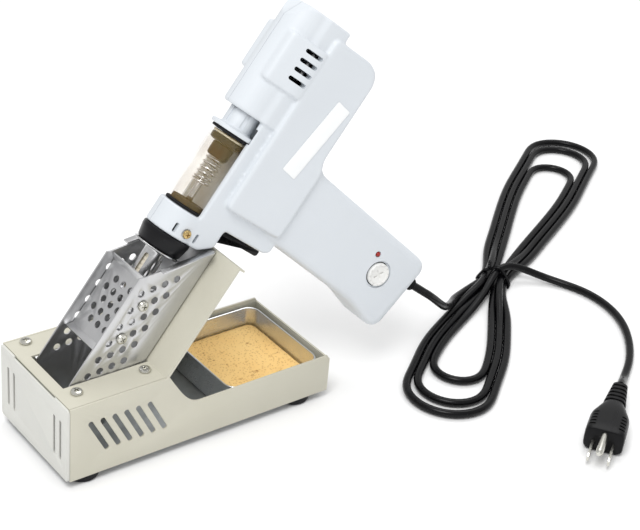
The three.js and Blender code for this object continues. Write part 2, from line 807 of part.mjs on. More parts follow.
// ---------------------------------------------------------------- hot end
function buildHotEnd() {
  const tip = -COLLAR_LENGTH - GAP;
  add(
    gun,
    "collar",
    turned([
      [SHROUD_RADIUS + 1, -GAP],
      [NOSE_RADIUS, -GAP],
      [NOSE_RADIUS + 0.2, -3],
      [COLLAR_TIP_RADIUS, -COLLAR_LENGTH],
      [SHROUD_RADIUS + 1, -COLLAR_LENGTH],
      [SHROUD_RADIUS + 1, -GAP],
    ]),
    MAT.black,
  );
  const shroudEnd = tip - SHROUD_LENGTH;
  const shroud = turned([
    [SHROUD_RADIUS - 0.6, shroudEnd],
    [SHROUD_RADIUS, shroudEnd],
    [SHROUD_RADIUS, tip - 1],
    [NOSE_RADIUS, tip - 1],
    [NOSE_RADIUS, tip],
    [SHROUD_RADIUS - 0.6, tip],
    [SHROUD_RADIUS - 0.6, shroudEnd],
  ]);
  const slots = [];
  for (let i = 0; i < 4; i++) {
    const slot = sideProfile(slotShape([shroudEnd + 6, 0], [tip - 7, 0], 1.5), 2, SHROUD_RADIUS + 2, 4);
    slots.push(slot.rotateX((Math.PI / 2) * i + 0.5));
  }
  add(gun, "heater_shroud", cut(shroud, ...slots), MAT.steel);
  const coreEnd = shroudEnd + 2;
  add(gun, "heater_core", ring(4.9, PIPE_RADIUS + GAP, coreEnd, tip - 3, "x", 20), MAT.ceramic);
  const pipeEnd = NOSE_LENGTH - 1;
  add(gun, "suction_pipe", ring(PIPE_RADIUS, PIPE_BORE, shroudEnd - 0.5, pipeEnd, "x", 16), MAT.steel);
  const base = shroudEnd - 0.5 - GAP;
  add(
    gun,
    "nozzle",
    turned(
      [
        [PIPE_BORE, base],
        [4.6, base],
        [4.6, base - 5],
        [3.2, base - 6.5],
        [3.2, base - 10],
        [1.5, base - NOZZLE_LENGTH],
        [PIPE_BORE, base - NOZZLE_LENGTH],
        [PIPE_BORE, base],
      ],
      "x",
      24,
    ),
    MAT.steel,
  );
}

// ---------------------------------------------------------------- filter cartridge and its slider
function buildCartridge() {
  const end = TUBE_END;
  const inner = TUBE_RADIUS - TUBE_WALL;
  add(gun, "filter_tube", ring(TUBE_RADIUS, inner, TUBE_START, end, "x", 28), MAT.clear);
  add(gun, "front_gasket", ring(TUBE_RADIUS + 0.6, 4, NOSE_LENGTH + GAP, NOSE_LENGTH + GAP + GASKET), MAT.rubber);
  add(gun, "rear_gasket", ring(TUBE_RADIUS + 0.6, 4, end + GAP, end + GAP + GASKET), MAT.rubber);
  add(gun, "prefilter_spring", coilSpring(5.4, 1.1, TUBE_START + 17, TUBE_START + 38, 5), MAT.steel);
  add(gun, "filter_holder", ring(inner - GAP, 5, end - 6, end - 2, "x", 28), MAT.black);
  add(gun, "filter_disc", rod(inner - GAP, end - 1.7, end - GAP, "x", 28), MAT.label);
  const face = SLIDER_FACE;
  const slider = turned([
    [4, face],
    [FLANGE_RADIUS, face],
    [FLANGE_RADIUS, face + FLANGE],
    [STUB_RADIUS, face + FLANGE],
    [STUB_RADIUS, BLOCK_FRONT + 4],
    [4, BLOCK_FRONT + 4],
    [4, face],
  ]);
  add(gun, "release_slider", slider, MAT.housing);
  add(gun, "release_spring", coilSpring(6.4, 1, BLOCK_FRONT + 5, BLOCK_FRONT + 17, 3), MAT.steel);
}

// ---------------------------------------------------------------- trigger
function buildTrigger() {
  const outline = [
    [6.8, -24.8],
    [6.8, -28.6],
    [12.6, -28.6],
    [12.9, -30],
    [12.9, -60],
    [14, -61.2],
    [17, -61.2],
    [17, -24.8],
  ];
  const half = TRIGGER_WIDTH / 2;
  add(gun, "trigger", sideProfile(outline, -half, half), MAT.black);
  const spring = add(gun, "trigger_spring", coilSpring(2, 0.6, 0, 5.4, 3), MAT.steel);
  spring.position.set(17.6, 0, -34);
  add(gun, "micro_switch", box(23.5, 31, -4.5, 4.5, -56, -40), MAT.black);
}

// ---------------------------------------------------------------- vacuum pump
const CAM_A = 110;
const CAM_H = -30;

function buildPump() {
  add(gun, "pump_body", join(box(104.5, 127, -8.6, 8.6, -6.4, 7.8), rod(3, 100.5, 105, "x", 16)), MAT.black);
  const hose = new THREE.CatmullRomCurve3([
    new THREE.Vector3(100.2, 0, 0),
    new THREE.Vector3(98.5, 0, 0),
    new THREE.Vector3(97, 0, 0),
  ]);
  add(gun, "vacuum_hose", swept(hose, 2.6, 4, 12), MAT.rubber);
  const motor = join(rod(12, CAM_A + 5, CAM_A + 33, "x", 28), rod(4, CAM_A + 4, CAM_A + 5.5, "x", 16));
  const bored = cut(motor, rod(1.6, CAM_A, CAM_A + 10, "x", 16));
  add(gun, "motor", bored, MAT.steel).position.set(0, 0, CAM_H);
  const shaft = rod(1.2, CAM_A - 4, CAM_A + 9, "x", 16);
  const cam = rod(CAM_RADIUS, CAM_A - 2.5, CAM_A + 2.5, "x", 28).translate(0, 0, CAM_THROW);
  add(gun, "motor_cam", join(shaft, cam), MAT.brass).position.set(0, 0, CAM_H);
  const eye = CAM_RADIUS + 2 * CAM_THROW + GAP;
  const link = join(
    ring(eye + 2, eye, CAM_A - 2, CAM_A + 2, "x", 28),
    box(CAM_A - 2, CAM_A + 2, -2, 2, eye + 1, -CAM_H - 8.6),
  );
  add(gun, "pump_rod", cut(link, rod(eye, CAM_A - 3, CAM_A + 3, "x", 28)), MAT.black).position.set(0, 0, CAM_H);
}

// ---------------------------------------------------------------- controls
function buildControls() {
  const board = join(
    box(27, 57, -5.6, -4, -156, -92),
    box(31, 41, -4.2, 6, -120, -104),
    rod(4.5, -4.2, 6, "y", 16).translate(50, 0, -103),
    rod(5, -10.5, -5, "y", 20).translate(DIAL_A, 0, DIAL_H),
  );
  const boredBoard = cut(board, rod(1.9, -11, -7, "y", 16).translate(DIAL_A, 0, DIAL_H));
  add(gun, "circuit_board", boredBoard, MAT.board);
  const dial = join(
    rod(DIAL_RADIUS, -GRIP_HALF - 1, -GRIP_HALF + 2, "y", 32),
    rod(1.5, -GRIP_HALF + 1, -8, "y", 16),
  );
  const slot = box(-4, 4, -GRIP_HALF - 2, -GRIP_HALF + 0.2, -0.7, 0.7);
  add(gun, "dial", cut(dial, slot), MAT.dial).position.set(DIAL_A, 0, DIAL_H);
  add(gun, "led", join(rod(1.5, -GRIP_HALF - 0.6, -12, "y", 12)), MAT.led).position.set(LED_A, 0, LED_H);
  const label = box(-25.5, 25.5, -PANEL_HALF - 0.45, -PANEL_HALF - GAP + 0.1, -5.6, 5.6);
  add(gun, "rating_label", label, MAT.label).position.set(91, 0, -38.6);
}

// ---------------------------------------------------------------- cord
const CORD_RADIUS = CORD_DIAMETER / 2;
const GLAND_A = 47.8;
const GLAND_TOP = -165.4;
const GLAND_END = -184;

function buildGland() {
  const gland = turned(
    [
      [0, GLAND_TOP],
      [5.6, GLAND_TOP],
      [5.6, GLAND_TOP - 1.6],
      [4, GLAND_TOP - 1.6],
      [4, -172.6],
      [5.4, -172.9],
      [5.2, -175],
      [3.9, GLAND_END],
      [0, GLAND_END],
    ],
    "z",
    20,
  );
  add(gun, "cord_gland", gland, MAT.black).position.set(GLAND_A, 0, 0);
}

const TIE = new THREE.Vector3(377, 11, 0);
const LEAD = [
  [281, -24.5, 35],
  [293, -17, 21.5],
  [307, -8.5, 11],
  [323, -1, 4.6],
  [340, 4.4, CORD_RADIUS],
];
const TAIL = [
  [400, -2],
  [414, -10],
  [423, -24],
  [426, -41],
  [422, -61],
  [412, -82],
  [396, -102],
  [376, -120],
];
const PLUG_START = new THREE.Vector3(352, -138, 0);
const PLUG_HEADING = Math.atan2(-0.566, -0.825);
const PLUG_THICK = 17;
const LOWER_HEADING = THREE.MathUtils.degToRad(217);
const UPPER_HEADING = THREE.MathUtils.degToRad(32.5);
const HANK_HEIGHT = 11;
const TIE_HALF = 6;
const NECK = 11; // half width of the bundle at the tie

function buildCord() {
  const exit = fromGun(GLAND_A, 0, GLAND_END - GAP);
  const out = fromGun(GLAND_A, 0, GLAND_END - 14);
  const back = new THREE.Vector3(Math.cos(LOWER_HEADING), Math.sin(LOWER_HEADING), 0);
  const leadEnd = TIE.clone().addScaledVector(back, TIE_HALF + 12).add(new THREE.Vector3(0, 6, CORD_RADIUS));
  const lead = new THREE.CatmullRomCurve3([exit, out, ...LEAD.map((p) => new THREE.Vector3(...p)), leadEnd]);
  add(cord, "cord_lead", swept(lead, CORD_RADIUS, 12), MAT.cord);
  add(cord, "cord_hank_lower", lobe(LOWER_HEADING, 176, 27), MAT.cord);
  add(cord, "cord_hank_upper", lobe(UPPER_HEADING, 264, 26), MAT.cord);
  const bundle = new THREE.Shape(
    [
      [-TIE_HALF, -NECK],
      [TIE_HALF, -NECK],
      [TIE_HALF, NECK],
      [-TIE_HALF, NECK],
    ].map(([x, y]) => new THREE.Vector2(x, y)),
  );
  const tie = add(cord, "cable_tie", planProfile(bundle, 0, HANK_HEIGHT + 5), MAT.black);
  tie.position.copy(TIE);
  tie.rotation.z = UPPER_HEADING;
  const start = PLUG_START.clone().setZ(PLUG_THICK / 2);
  const heading = new THREE.Vector3(Math.cos(PLUG_HEADING), Math.sin(PLUG_HEADING), 0);
  const tail = new THREE.CatmullRomCurve3([
    new THREE.Vector3(388, -1, CORD_RADIUS),
    ...TAIL.map(([x, y]) => new THREE.Vector3(x, y, CORD_RADIUS + 0.5)),
    start.clone().addScaledVector(heading, -14).setZ(CORD_RADIUS + 4),
    start.clone().addScaledVector(heading, -6).setZ(CORD_RADIUS + 5.4),
    start.clone().addScaledVector(heading, -0.8),
  ]);
  add(cord, "cord_tail", swept(tail, CORD_RADIUS, 22), MAT.cord);
  buildPlug();
}

// The outer form of one end of the figure-of-eight bundle.
function lobe(heading, length, radius) {
  const away = TIE_HALF + GAP;
  const shape = new THREE.Shape();
  const centre = length - radius;
  const lean = Math.asin((radius - NECK) / centre);
  shape.moveTo(away, -NECK);
  shape.absarc(centre, 0, radius, -Math.PI / 2 - lean, Math.PI / 2 + lean);
  shape.lineTo(away, NECK);
  return planProfile(shape, 0, HANK_HEIGHT, 10).rotateZ(heading).translate(TIE.x, TIE.y, 0);
}

function buildPlug() {
  const plug = new THREE.Group();
  plug.position.copy(PLUG_START).setZ(PLUG_THICK / 2);
  plug.rotation.z = PLUG_HEADING;
  cord.add(plug);
  const relief = [
    [0, 0],
    [3.8, 0],
    [5.2, 26],
    [0, 26],
  ];
  const body = [
    [24, -6],
    [34, -9.5],
    [42, -12.5],
    [66, -12.5],
    [66, 12.5],
    [42, 12.5],
    [34, 9.5],
    [24, 6],
  ];
  const shape = new THREE.Shape(body.map(([x, y]) => new THREE.Vector2(x, y)));
  const half = PLUG_THICK / 2;
  add(plug, "plug_body", join(turned(relief, "x", 16), planProfile(shape, -half, half)), MAT.black);
  const face = 66 + GAP;
  [-6.35, 6.35].forEach((y, i) => {
    add(plug, `plug_blade_${i + 1}`, box(face, face + 17, y - 0.75, y + 0.75, -6.2, 0.1), MAT.brass);
  });
  const pin = rod(2.4, face, face + 21, "x", 16).translate(0, 0, half - 4);
  add(plug, "plug_ground_pin", pin, MAT.brass);
}

// ---------------------------------------------------------------- assembly
buildBase();
buildHolder();
buildCradle();
buildTray();
buildHousing();
buildHotEnd();
buildCartridge();
buildTrigger();
buildPump();
buildControls();
buildGland();
buildCord();

// The origin sits on the bench below the middle of the object itself, without its cord.
const extent = new THREE.Box3();
for (const group of [stand, cradle, gun]) {
  group.updateMatrixWorld(true);
  extent.expandByObject(group, true);
}
const middle = extent.getCenter(new THREE.Vector3());
model.position.set(-middle.x, -middle.y, 0);

export default model;
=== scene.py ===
# %% [markdown]
# # A desoldering gun in its bench stand
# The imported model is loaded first. It fixes every size and place: sheet metal, gun, joints and
# cord. Everything below dresses that frame with finer shapes and with finishes, and never moves
# it.

# %% Load the frame
import json
import math

import bmesh
import bpy
import numpy as np
from mathutils import Matrix, Vector, noise


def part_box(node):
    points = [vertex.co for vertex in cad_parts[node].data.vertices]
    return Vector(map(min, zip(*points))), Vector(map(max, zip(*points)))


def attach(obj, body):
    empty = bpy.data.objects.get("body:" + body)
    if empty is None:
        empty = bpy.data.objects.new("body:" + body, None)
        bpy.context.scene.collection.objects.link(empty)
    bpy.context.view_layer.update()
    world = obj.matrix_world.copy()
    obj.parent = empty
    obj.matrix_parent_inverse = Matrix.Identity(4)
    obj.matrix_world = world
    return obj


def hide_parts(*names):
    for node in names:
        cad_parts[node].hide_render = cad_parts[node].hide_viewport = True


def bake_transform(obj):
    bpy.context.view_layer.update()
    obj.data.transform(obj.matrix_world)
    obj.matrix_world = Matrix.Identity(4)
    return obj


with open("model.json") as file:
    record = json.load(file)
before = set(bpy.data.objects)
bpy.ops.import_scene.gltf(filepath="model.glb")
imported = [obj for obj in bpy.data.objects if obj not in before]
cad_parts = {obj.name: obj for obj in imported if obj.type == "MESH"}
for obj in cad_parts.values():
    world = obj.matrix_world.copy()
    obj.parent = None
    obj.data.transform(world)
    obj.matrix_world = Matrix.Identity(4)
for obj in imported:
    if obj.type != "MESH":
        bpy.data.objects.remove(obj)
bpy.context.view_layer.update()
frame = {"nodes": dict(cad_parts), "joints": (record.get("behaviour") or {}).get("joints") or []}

MM = 0.001
joints = {joint["name"]: joint for joint in frame["joints"]}

# %% [markdown]
# ## Three places to work from
# A maker of this tool thinks in three sets of axes: the stand's (forward, across, up), the
# cradle's (along the barrel, across, off the barrel) and the gun's own, which lies turned a
# little about its barrel. The joints already hold those directions, so the axes are read from
# them and are never typed in twice. Each set of axes is a matrix that takes millimetres and gives
# metres.

# %% Axes of the stand, the cradle and the gun
barrel = Vector(joints["gun_lift"]["axis"]).normalized()
gun_up = Vector(joints["tube_lift"]["axis"]).normalized()
gun_across = gun_up.cross(barrel)
across = Vector((0, 1, 0))
off_barrel = barrel.cross(across)
DIAL = Vector((43, -17, -140))  # the dial's centre on the grip: along, across, up


def axes(x, y, z, origin):
    place = Matrix((x, y, z)).transposed().to_4x4()
    place.translation = origin
    return place @ Matrix.Scale(MM, 4)


front_low, front_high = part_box("front_panel")
stand_origin = Vector((front_low.x, (front_low.y + front_high.y) / 2, 0))
dial_place = Vector(joints["dial_turn"]["pos_m"])
gun_origin = dial_place - MM * (DIAL.x * barrel + DIAL.y * gun_across + DIAL.z * gun_up)
STAND = Matrix.Translation(stand_origin) @ Matrix.Scale(MM, 4)
CRADLE = axes(barrel, across, off_barrel, gun_origin)
GUN = axes(barrel, gun_across, gun_up, gun_origin)
print("barrel meets nose at", [round(v / MM, 1) for v in gun_origin])

# %% [markdown]
# ## Camera
# The whole set, cord included, is seen from the front left and above, with a long lens and the
# camera tipped a few degrees. It is placed by angles and distance from a point between the gun
# and its cord, because those are what a studio camera is set by.

# %% Place the camera
VIEW_AZIMUTH = math.radians(39.861)
VIEW_ELEVATION = math.radians(29.892)
VIEW_ROLL = math.radians(5.554)
VIEW_DISTANCE = 1.01141
VIEW_TARGET = Vector((0.07189, 0, 0.07124))
LENS = 89.39


def camera_at(target, azimuth, elevation, roll, distance):
    forward = Vector(
        (
            math.sin(azimuth) * math.cos(elevation),
            math.cos(azimuth) * math.cos(elevation),
            -math.sin(elevation),
        )
    )
    level = forward.cross(Vector((0, 0, 1))).normalized()
    above = level.cross(forward)
    right = math.cos(roll) * level + math.sin(roll) * above
    place = Matrix((right, right.cross(forward), -forward)).transposed().to_4x4()
    place.translation = target - distance * forward
    return place


camera_data = bpy.data.cameras.new("camera")
camera_data.lens = LENS
camera_data.sensor_width = 36
camera = bpy.data.objects.new("camera", camera_data)
bpy.context.scene.collection.objects.link(camera)
camera.matrix_world = camera_at(VIEW_TARGET, VIEW_AZIMUTH, VIEW_ELEVATION, VIEW_ROLL, VIEW_DISTANCE)
bpy.context.scene.camera = camera
print("camera at", [round(v, 3) for v in camera.location])

# %% [markdown]
# ## Mesh helpers
# Four ways of making cover this object: a flat outline given a thickness, a profile turned about
# an axis, a round bar swept along a line, and rings skinned one to the next. Each gives corner
# points and faces in millimetres. One more helper turns them into an object and rounds its edges,
# because real edges are never sharp and catch the light.

# %% Skinned rings and moved outlines
def skin(rings, closed=True):
    """Rings of equal length joined by faces, with a face across each end."""
    count = len(rings[0])
    points = [tuple(p) for ring in rings for p in ring]
    faces = []
    for r in range(len(rings) - 1):
        for i in range(count):
            j = (i + 1) % count
            faces.append((r * count + i, r * count + j, (r + 1) * count + j, (r + 1) * count + i))
    if closed:
        faces.append(tuple(range(count))[::-1])
        faces.append(tuple((len(rings) - 1) * count + i for i in range(count)))
    return points, faces


SHARPEST = 0.3  # keeps a sharp corner from running far out when its outline is moved
THINNEST = 0.01  # radius left at a turned piece's tip, so that no face collapses


def around(count):
    """Angles evenly spaced round a full turn."""
    return [2 * math.pi * i / count for i in range(count)]


def inset(outline, distance):
    """The outline moved inwards; it runs anticlockwise."""
    count = len(outline)
    moved = []
    for i in range(count):
        before, here, after = (Vector(outline[k % count]) for k in (i - 1, i, i + 1))
        a = (here - before).normalized()
        b = (after - here).normalized()
        normal = Vector((-a.y - b.y, a.x + b.x))
        spread = max(SHARPEST, 1 + a.dot(b))
        moved.append(here + normal * distance / spread)
    return moved


def twice_area(outline):
    """Positive where the outline runs anticlockwise."""
    following = list(outline[1:]) + [outline[0]]
    return sum(a[0] * b[1] - b[0] * a[1] for a, b in zip(outline, following))


LAYOUTS = {
    "side": lambda u, v, w: (u, w, v),
    "plan": lambda u, v, w: (u, v, w),
    "front": lambda u, v, w: (w, u, v),
}

# %% Plates, turned pieces and bars
def plate(outline, low, high, layout="side", round_edge=0.0, steps=3):
    """An outline given a thickness, with its two rims rounded."""
    outline = [Vector(p) for p in outline]
    if twice_area(outline) < 0:
        outline.reverse()
    levels = []
    if round_edge:
        for i in range(steps + 1):
            angle = math.pi / 2 * i / steps
            inwards = round_edge * (1 - math.sin(angle))
            levels.append((inwards, low + round_edge * (1 - math.cos(angle))))
        levels += [(d, high - (w - low)) for d, w in reversed(levels)]
    else:
        levels = [(0, low), (0, high)]
    put = LAYOUTS[layout]
    return skin([[put(p[0], p[1], w) for p in inset(outline, d)] for d, w in levels])


def turned(profile, axis="x", segments=48):
    """A closed profile of (radius, along) points turned about an axis."""
    rings = []
    for radius, along in profile:
        ring = []
        reach = max(radius, THINNEST)
        for angle in around(segments):
            c, s = reach * math.cos(angle), reach * math.sin(angle)
            ring.append({"x": (along, c, s), "y": (c, along, s), "z": (c, s, along)}[axis])
        rings.append(ring)
    return skin(rings, closed=profile[0] != profile[-1])


def swept(line, radius, sides=12):
    """A round bar along a line of points. radius is one number, or one for each point."""
    line = [Vector(p) for p in line]
    radii = radius if hasattr(radius, "__len__") else [radius] * len(line)
    side = Vector((0, 0, 1)).cross(line[1] - line[0])
    if side.length < 1e-6:
        side = Vector((1, 0, 0))
    rings = []
    for i, point in enumerate(line):
        heading = (line[min(i + 1, len(line) - 1)] - line[max(i - 1, 0)]).normalized()
        side = (side - heading * side.dot(heading)).normalized()
        up = heading.cross(side)
        out = [math.cos(t) * side + math.sin(t) * up for t in around(sides)]
        rings.append([point + radii[i] * way for way in out])
    return skin(rings)


def block(x0, x1, y0, y1, z0, z1, round_edge=0.0):
    """A box between two limits on each axis."""
    return plate([(x0, z0), (x1, z0), (x1, z1), (x0, z1)], y0, y1, "side", round_edge)

# %% Outlines that come back often
def slot_outline(start, end, radius, steps=8):
    """A slot with round ends, from one end's centre to the other's."""
    start, end = Vector(start), Vector(end)
    angle = math.atan2(end.y - start.y, end.x - start.x)
    outline = []
    for centre, first in ((end, angle - math.pi / 2), (start, angle + math.pi / 2)):
        for i in range(steps + 1):
            t = first + math.pi * i / steps
            outline.append((centre.x + radius * math.cos(t), centre.y + radius * math.sin(t)))
    return outline


def circle(x, y, radius, steps=28):
    return [(x + radius * math.cos(t), y + radius * math.sin(t)) for t in around(steps)]


def rounded_box_outline(x0, x1, y0, y1, radius, steps=6):
    outline = []
    corners = ((x1, y0, -90), (x1, y1, 0), (x0, y1, 90), (x0, y0, 180))
    for cx, cy, first in corners:
        ox = cx - radius if cx == x1 else cx + radius
        oy = cy - radius if cy == y1 else cy + radius
        for i in range(steps + 1):
            t = math.radians(first + 90 * i / steps)
            outline.append((ox + radius * math.cos(t), oy + radius * math.sin(t)))
    return outline


def softened(outline, radius, steps=4):
    """An outline with each corner replaced by a small curve."""
    count = len(outline)
    result = []
    for i in range(count):
        before, here, after = (Vector(outline[k % count]) for k in (i - 1, i, i + 1))
        reach = min(radius, 0.45 * (before - here).length, 0.45 * (after - here).length)
        a = here + (before - here).normalized() * reach
        b = here + (after - here).normalized() * reach
        for k in range(steps + 1):
            t = k / steps
            result.append((1 - t) ** 2 * a + 2 * t * (1 - t) * here + t * t * b)
    return result

# %% Objects from shapes
def shape(name, place, *forms):
    """One object from several shapes, in its place."""
    mesh = bpy.data.meshes.new(name)
    points, faces = [], []
    for more_points, more_faces in forms:
        start = len(points)
        points += [place @ Vector(p) for p in more_points]
        faces += [tuple(start + i for i in face) for face in more_faces]
    mesh.from_pydata(points, [], faces)
    bm = bmesh.new()
    bm.from_mesh(mesh)
    bmesh.ops.remove_doubles(bm, verts=bm.verts, dist=0.002 * MM)
    bmesh.ops.recalc_face_normals(bm, faces=bm.faces)
    bm.to_mesh(mesh)
    bm.free()
    thing = bpy.data.objects.new(name, mesh)
    bpy.context.scene.collection.objects.link(thing)
    return thing


def apply_modifiers(thing):
    """The object keeps the mesh that its modifiers make of it."""
    bpy.context.view_layer.update()
    finished = thing.evaluated_get(bpy.context.evaluated_depsgraph_get())
    mesh = bpy.data.meshes.new_from_object(finished)
    thing.modifiers.clear()
    thing.data = mesh
    return thing

# %% Modifiers, cuts and rounded edges
def modify(thing, kind, **settings):
    """One more modifier on the object, not yet applied."""
    step = thing.modifiers.new(kind.lower(), kind)
    for name, value in settings.items():
        setattr(step, name, value)
    return thing


def combine(thing, other, operation):
    modify(thing, "BOOLEAN", operation=operation, solver="MANIFOLD", object=other)
    apply_modifiers(thing)
    bpy.data.objects.remove(other)
    return thing


def carve(thing, place, *forms, operation="DIFFERENCE"):
    """Each shape is cut from the object."""
    for form in forms:
        combine(thing, shape("form", place, form), operation)
    return thing


def join(thing, place, *forms):
    """Each shape is grown onto the object."""
    return carve(thing, place, *forms, operation="UNION")


def round_edges(thing, width, segments=2, angle=35):
    limit = {"limit_method": "ANGLE", "angle_limit": math.radians(angle)}
    return apply_modifiers(modify(thing, "BEVEL", width=width * MM, segments=segments, **limit))


QUARTER_TURN = math.pi / 2


def at(place, x=0, y=0, z=0, turn=0, axis="Z"):
    """A place moved by millimetres, then turned about one of its own axes."""
    return place @ Matrix.Translation((x, y, z)) @ Matrix.Rotation(turn, 4, axis)

# %% A piece takes its place
def shade(thing, angle=32):
    """Smooth faces, but for edges sharper than the angle."""
    thing.data.polygons.foreach_set("use_smooth", [True] * len(thing.data.polygons))
    thing.data.set_sharp_from_angle(angle=math.radians(angle))


made = {}


def fit(thing, body, look, *nodes, slot=None):
    """The object gets its finish, rides on its body and stands for the frame's nodes."""
    shade(thing)
    thing.data.materials.clear()
    thing.data.materials.append(look)
    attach(thing, body)
    if nodes:
        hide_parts(*nodes)
    made[thing.name] = len(thing.data.polygons)
    return thing


def spun(name, place, profile, body, look, *nodes, slot, axis="x", segments=48):
    """A turned piece that needs no cuts."""
    return fit(shape(name, place, turned(profile, axis, segments)), body, look, *nodes, slot=slot)

# %% [markdown]
# ## Shader maths
# A finish is a small sum of patterns. Written with plain operators it reads like the sum it is,
# so one class wraps a node's socket, and its operators add Math nodes.

# %% A socket that can be added and multiplied
class Pattern:
    def __init__(self, tree, socket):
        self.tree = tree
        self.socket = socket

    def add(self, kind, settings, sockets, out=0):
        node = self.tree.nodes.new(kind)
        for name, value in settings.items():
            setattr(node, name, value)
        for name, value in sockets.items():
            if isinstance(value, Pattern):
                self.tree.links.new(value.socket, node.inputs[name])
            elif value is not None:
                node.inputs[name].default_value = value
        return Pattern(self.tree, node.outputs[out])

    def math(self, operation, *values):
        return self.add("ShaderNodeMath", {"operation": operation}, dict(enumerate(values)))

    def __add__(self, other):
        return self.math("ADD", self, other)

    def __radd__(self, other):
        return self.math("ADD", other, self)

    def __sub__(self, other):
        return self.math("SUBTRACT", self, other)

    def __rsub__(self, other):
        return self.math("SUBTRACT", other, self)

    def __mul__(self, other):
        return self.math("MULTIPLY", self, other)

    def __rmul__(self, other):
        return self.math("MULTIPLY", other, self)

    def clamp(self, low=0.0, high=1.0):
        return self.math("MAXIMUM", self.math("MINIMUM", self, high), low)

    def step(self, low, high):
        """0 below low, 1 above high, smooth between."""
        return self.add(
            "ShaderNodeMapRange",
            {"interpolation_type": "SMOOTHSTEP"},
            {"Value": self, "From Min": low, "From Max": high},
        )

    def mix(self, first, second):
        """Colour first where this is 0, second where it is 1."""
        settings = {"data_type": "RGBA"}
        sockets = {0: self, 6: as_light(first), 7: as_light(second)}
        return self.add("ShaderNodeMix", settings, sockets, out=2)

# %% Colours, finishes and their patterns
def as_light(tint):
    """Screen colour from 0 to 255 as light, by the standard curve of screens."""
    if isinstance(tint, Pattern):
        return tint
    shares = [v / 255 for v in tint]
    light = [((s + 0.055) / 1.055) ** 2.4 if s > 10 / 255 else s / 12.92 for s in shares]
    return (*light, 1)


def finish(name, recipe, **fixed):
    """A material: fixed numbers go straight on the shader; recipe(place) gives what varies."""
    material = bpy.data.materials.new(name)
    material.use_nodes = True
    tree = material.node_tree
    shader = tree.nodes["Principled BSDF"]
    for key, value in fixed.items():
        shader.inputs[key.replace("_", " ").title().replace("Ior", "IOR")].default_value = value
    coordinates = tree.nodes.new("ShaderNodeTexCoord")
    place = Pattern(tree, coordinates.outputs["Object"])
    for key, value in recipe(place).items():
        tree.links.new(value.socket, shader.inputs[key])
    return material


def grain(place, size, detail=2.0, rough=0.5):
    """Soft noise with lumps of about that many millimetres."""
    sockets = {"Vector": place, "Scale": 1 / (size * MM), "Detail": detail, "Roughness": rough}
    return place.add("ShaderNodeTexNoise", {}, sockets)


def cells(place, scale):
    """Distance from the nearest of many scattered points."""
    return place.add("ShaderNodeTexVoronoi", {}, {"Vector": place, "Scale": scale})


def streaks(place, direction, length, width):
    """Brush lines that run along a direction."""
    d = Vector(direction).normalized()
    turn = d.to_track_quat("X", "Z").inverted().to_euler()
    aligned = place.add("ShaderNodeMapping", {}, {"Vector": place, "Rotation": turn})
    scale = (1 / (length * MM), 1 / (width * MM), 1 / (width * MM))
    stretched = place.add("ShaderNodeMapping", {}, {"Vector": aligned, "Scale": scale})
    return place.add("ShaderNodeTexNoise", {}, {"Vector": stretched, "Scale": 1.0, "Detail": 3.0})


def bumped(place, height, depth, strength=1.0):
    """A normal from a height pattern, whose full range is depth millimetres."""
    sockets = {"Height": height, "Distance": depth * MM, "Strength": strength}
    return place.add("ShaderNodeBump", {}, sockets)


def surface(place, tint, rough, height, depth, strength):
    """The three things that vary over most finishes: colour, roughness and relief."""
    relief = bumped(place, height, depth, strength)
    return {"Base Color": tint, "Roughness": rough, "Normal": relief}


print("helpers ready")

# %% [markdown]
# ## Finishes of the stand
# The folded sheet is powder coated: a fine orange-peel skin with faint cloudiness. The bottom
# plate is zinc plated and shows soft cloudy spangle. The cradle, cover and tray are brushed
# stainless steel, which needs long thin streaks in roughness and normal more than in colour.

# %% Paint, zinc and stainless steel
def coated(name, light, dark):
    def recipe(p):
        peel = grain(p, 0.9, 2.0)
        cloud = grain(p, 26, 3.0)
        speck = grain(p, 0.35, 1.0).step(0.66, 0.78)
        tone = (cloud * 0.5 + speck * 0.25).clamp()
        rough = 0.42 + cloud * 0.14 + peel * 0.06
        return surface(p, tone.mix(light, dark), rough, peel, 0.05, 0.5)

    return finish(name, recipe, coat_weight=0.12, coat_roughness=0.3)


beige_coat = coated("beige powder coat", (204, 201, 186), (190, 187, 169))
# painted light: the front panel's coat is the beige paint made greyer and lighter for how light
# falls on its face
front_lit_coat = coated("beige coat lit on the front", (214, 214, 208), (198, 198, 192))


def zinc_recipe(p):
    spangle = cells(p, 160.0)
    cloud = grain(p, 18, 4.0)
    tone = (spangle * 0.35 + cloud * 0.6).clamp()
    tint = tone.mix((176, 180, 182), (128, 132, 134))
    return surface(p, tint, 0.34 + cloud * 0.2, grain(p, 1.2), 0.03, 0.3)


zinc = finish("zinc plate", zinc_recipe, metallic=0.5)


def brushed(name, direction, light, dark, polish):
    def recipe(p):
        lines = streaks(p, direction, 26, 0.18)
        wear = grain(p, 14, 4.0)
        tint = (lines * 0.35 + wear * 0.4).clamp().mix(light, dark)
        return surface(p, tint, polish + lines * 0.16 + wear * 0.1, lines, 0.02, 0.35)

    return finish(name, recipe, metallic=1.0)


cradle_steel = brushed("cradle stainless", barrel, (222, 222, 222), (176, 177, 180), 0.2)
tray_steel = brushed("tray stainless", (1, 0, 0), (226, 228, 230), (190, 193, 196), 0.16)

# %% [markdown]
# ## Finishes of screws, rubber and sponge
# Nickel-plated screws are bright with small darker pits. Rubber feet are dull with a dusty bloom.
# The sponge is cellulose: thousands of pores of every size, with painted shade inside them, on a
# warm yellow body.

# %% Screws, rubber, black moulding and sponge
def plated(name, light, dark, polish):
    def recipe(p):
        marks = grain(p, 1.6, 4.0)
        rough = polish + marks * 0.2
        return surface(p, marks.mix(light, dark), rough, grain(p, 0.5), 0.02, 0.3)

    return finish(name, recipe, metallic=1.0)


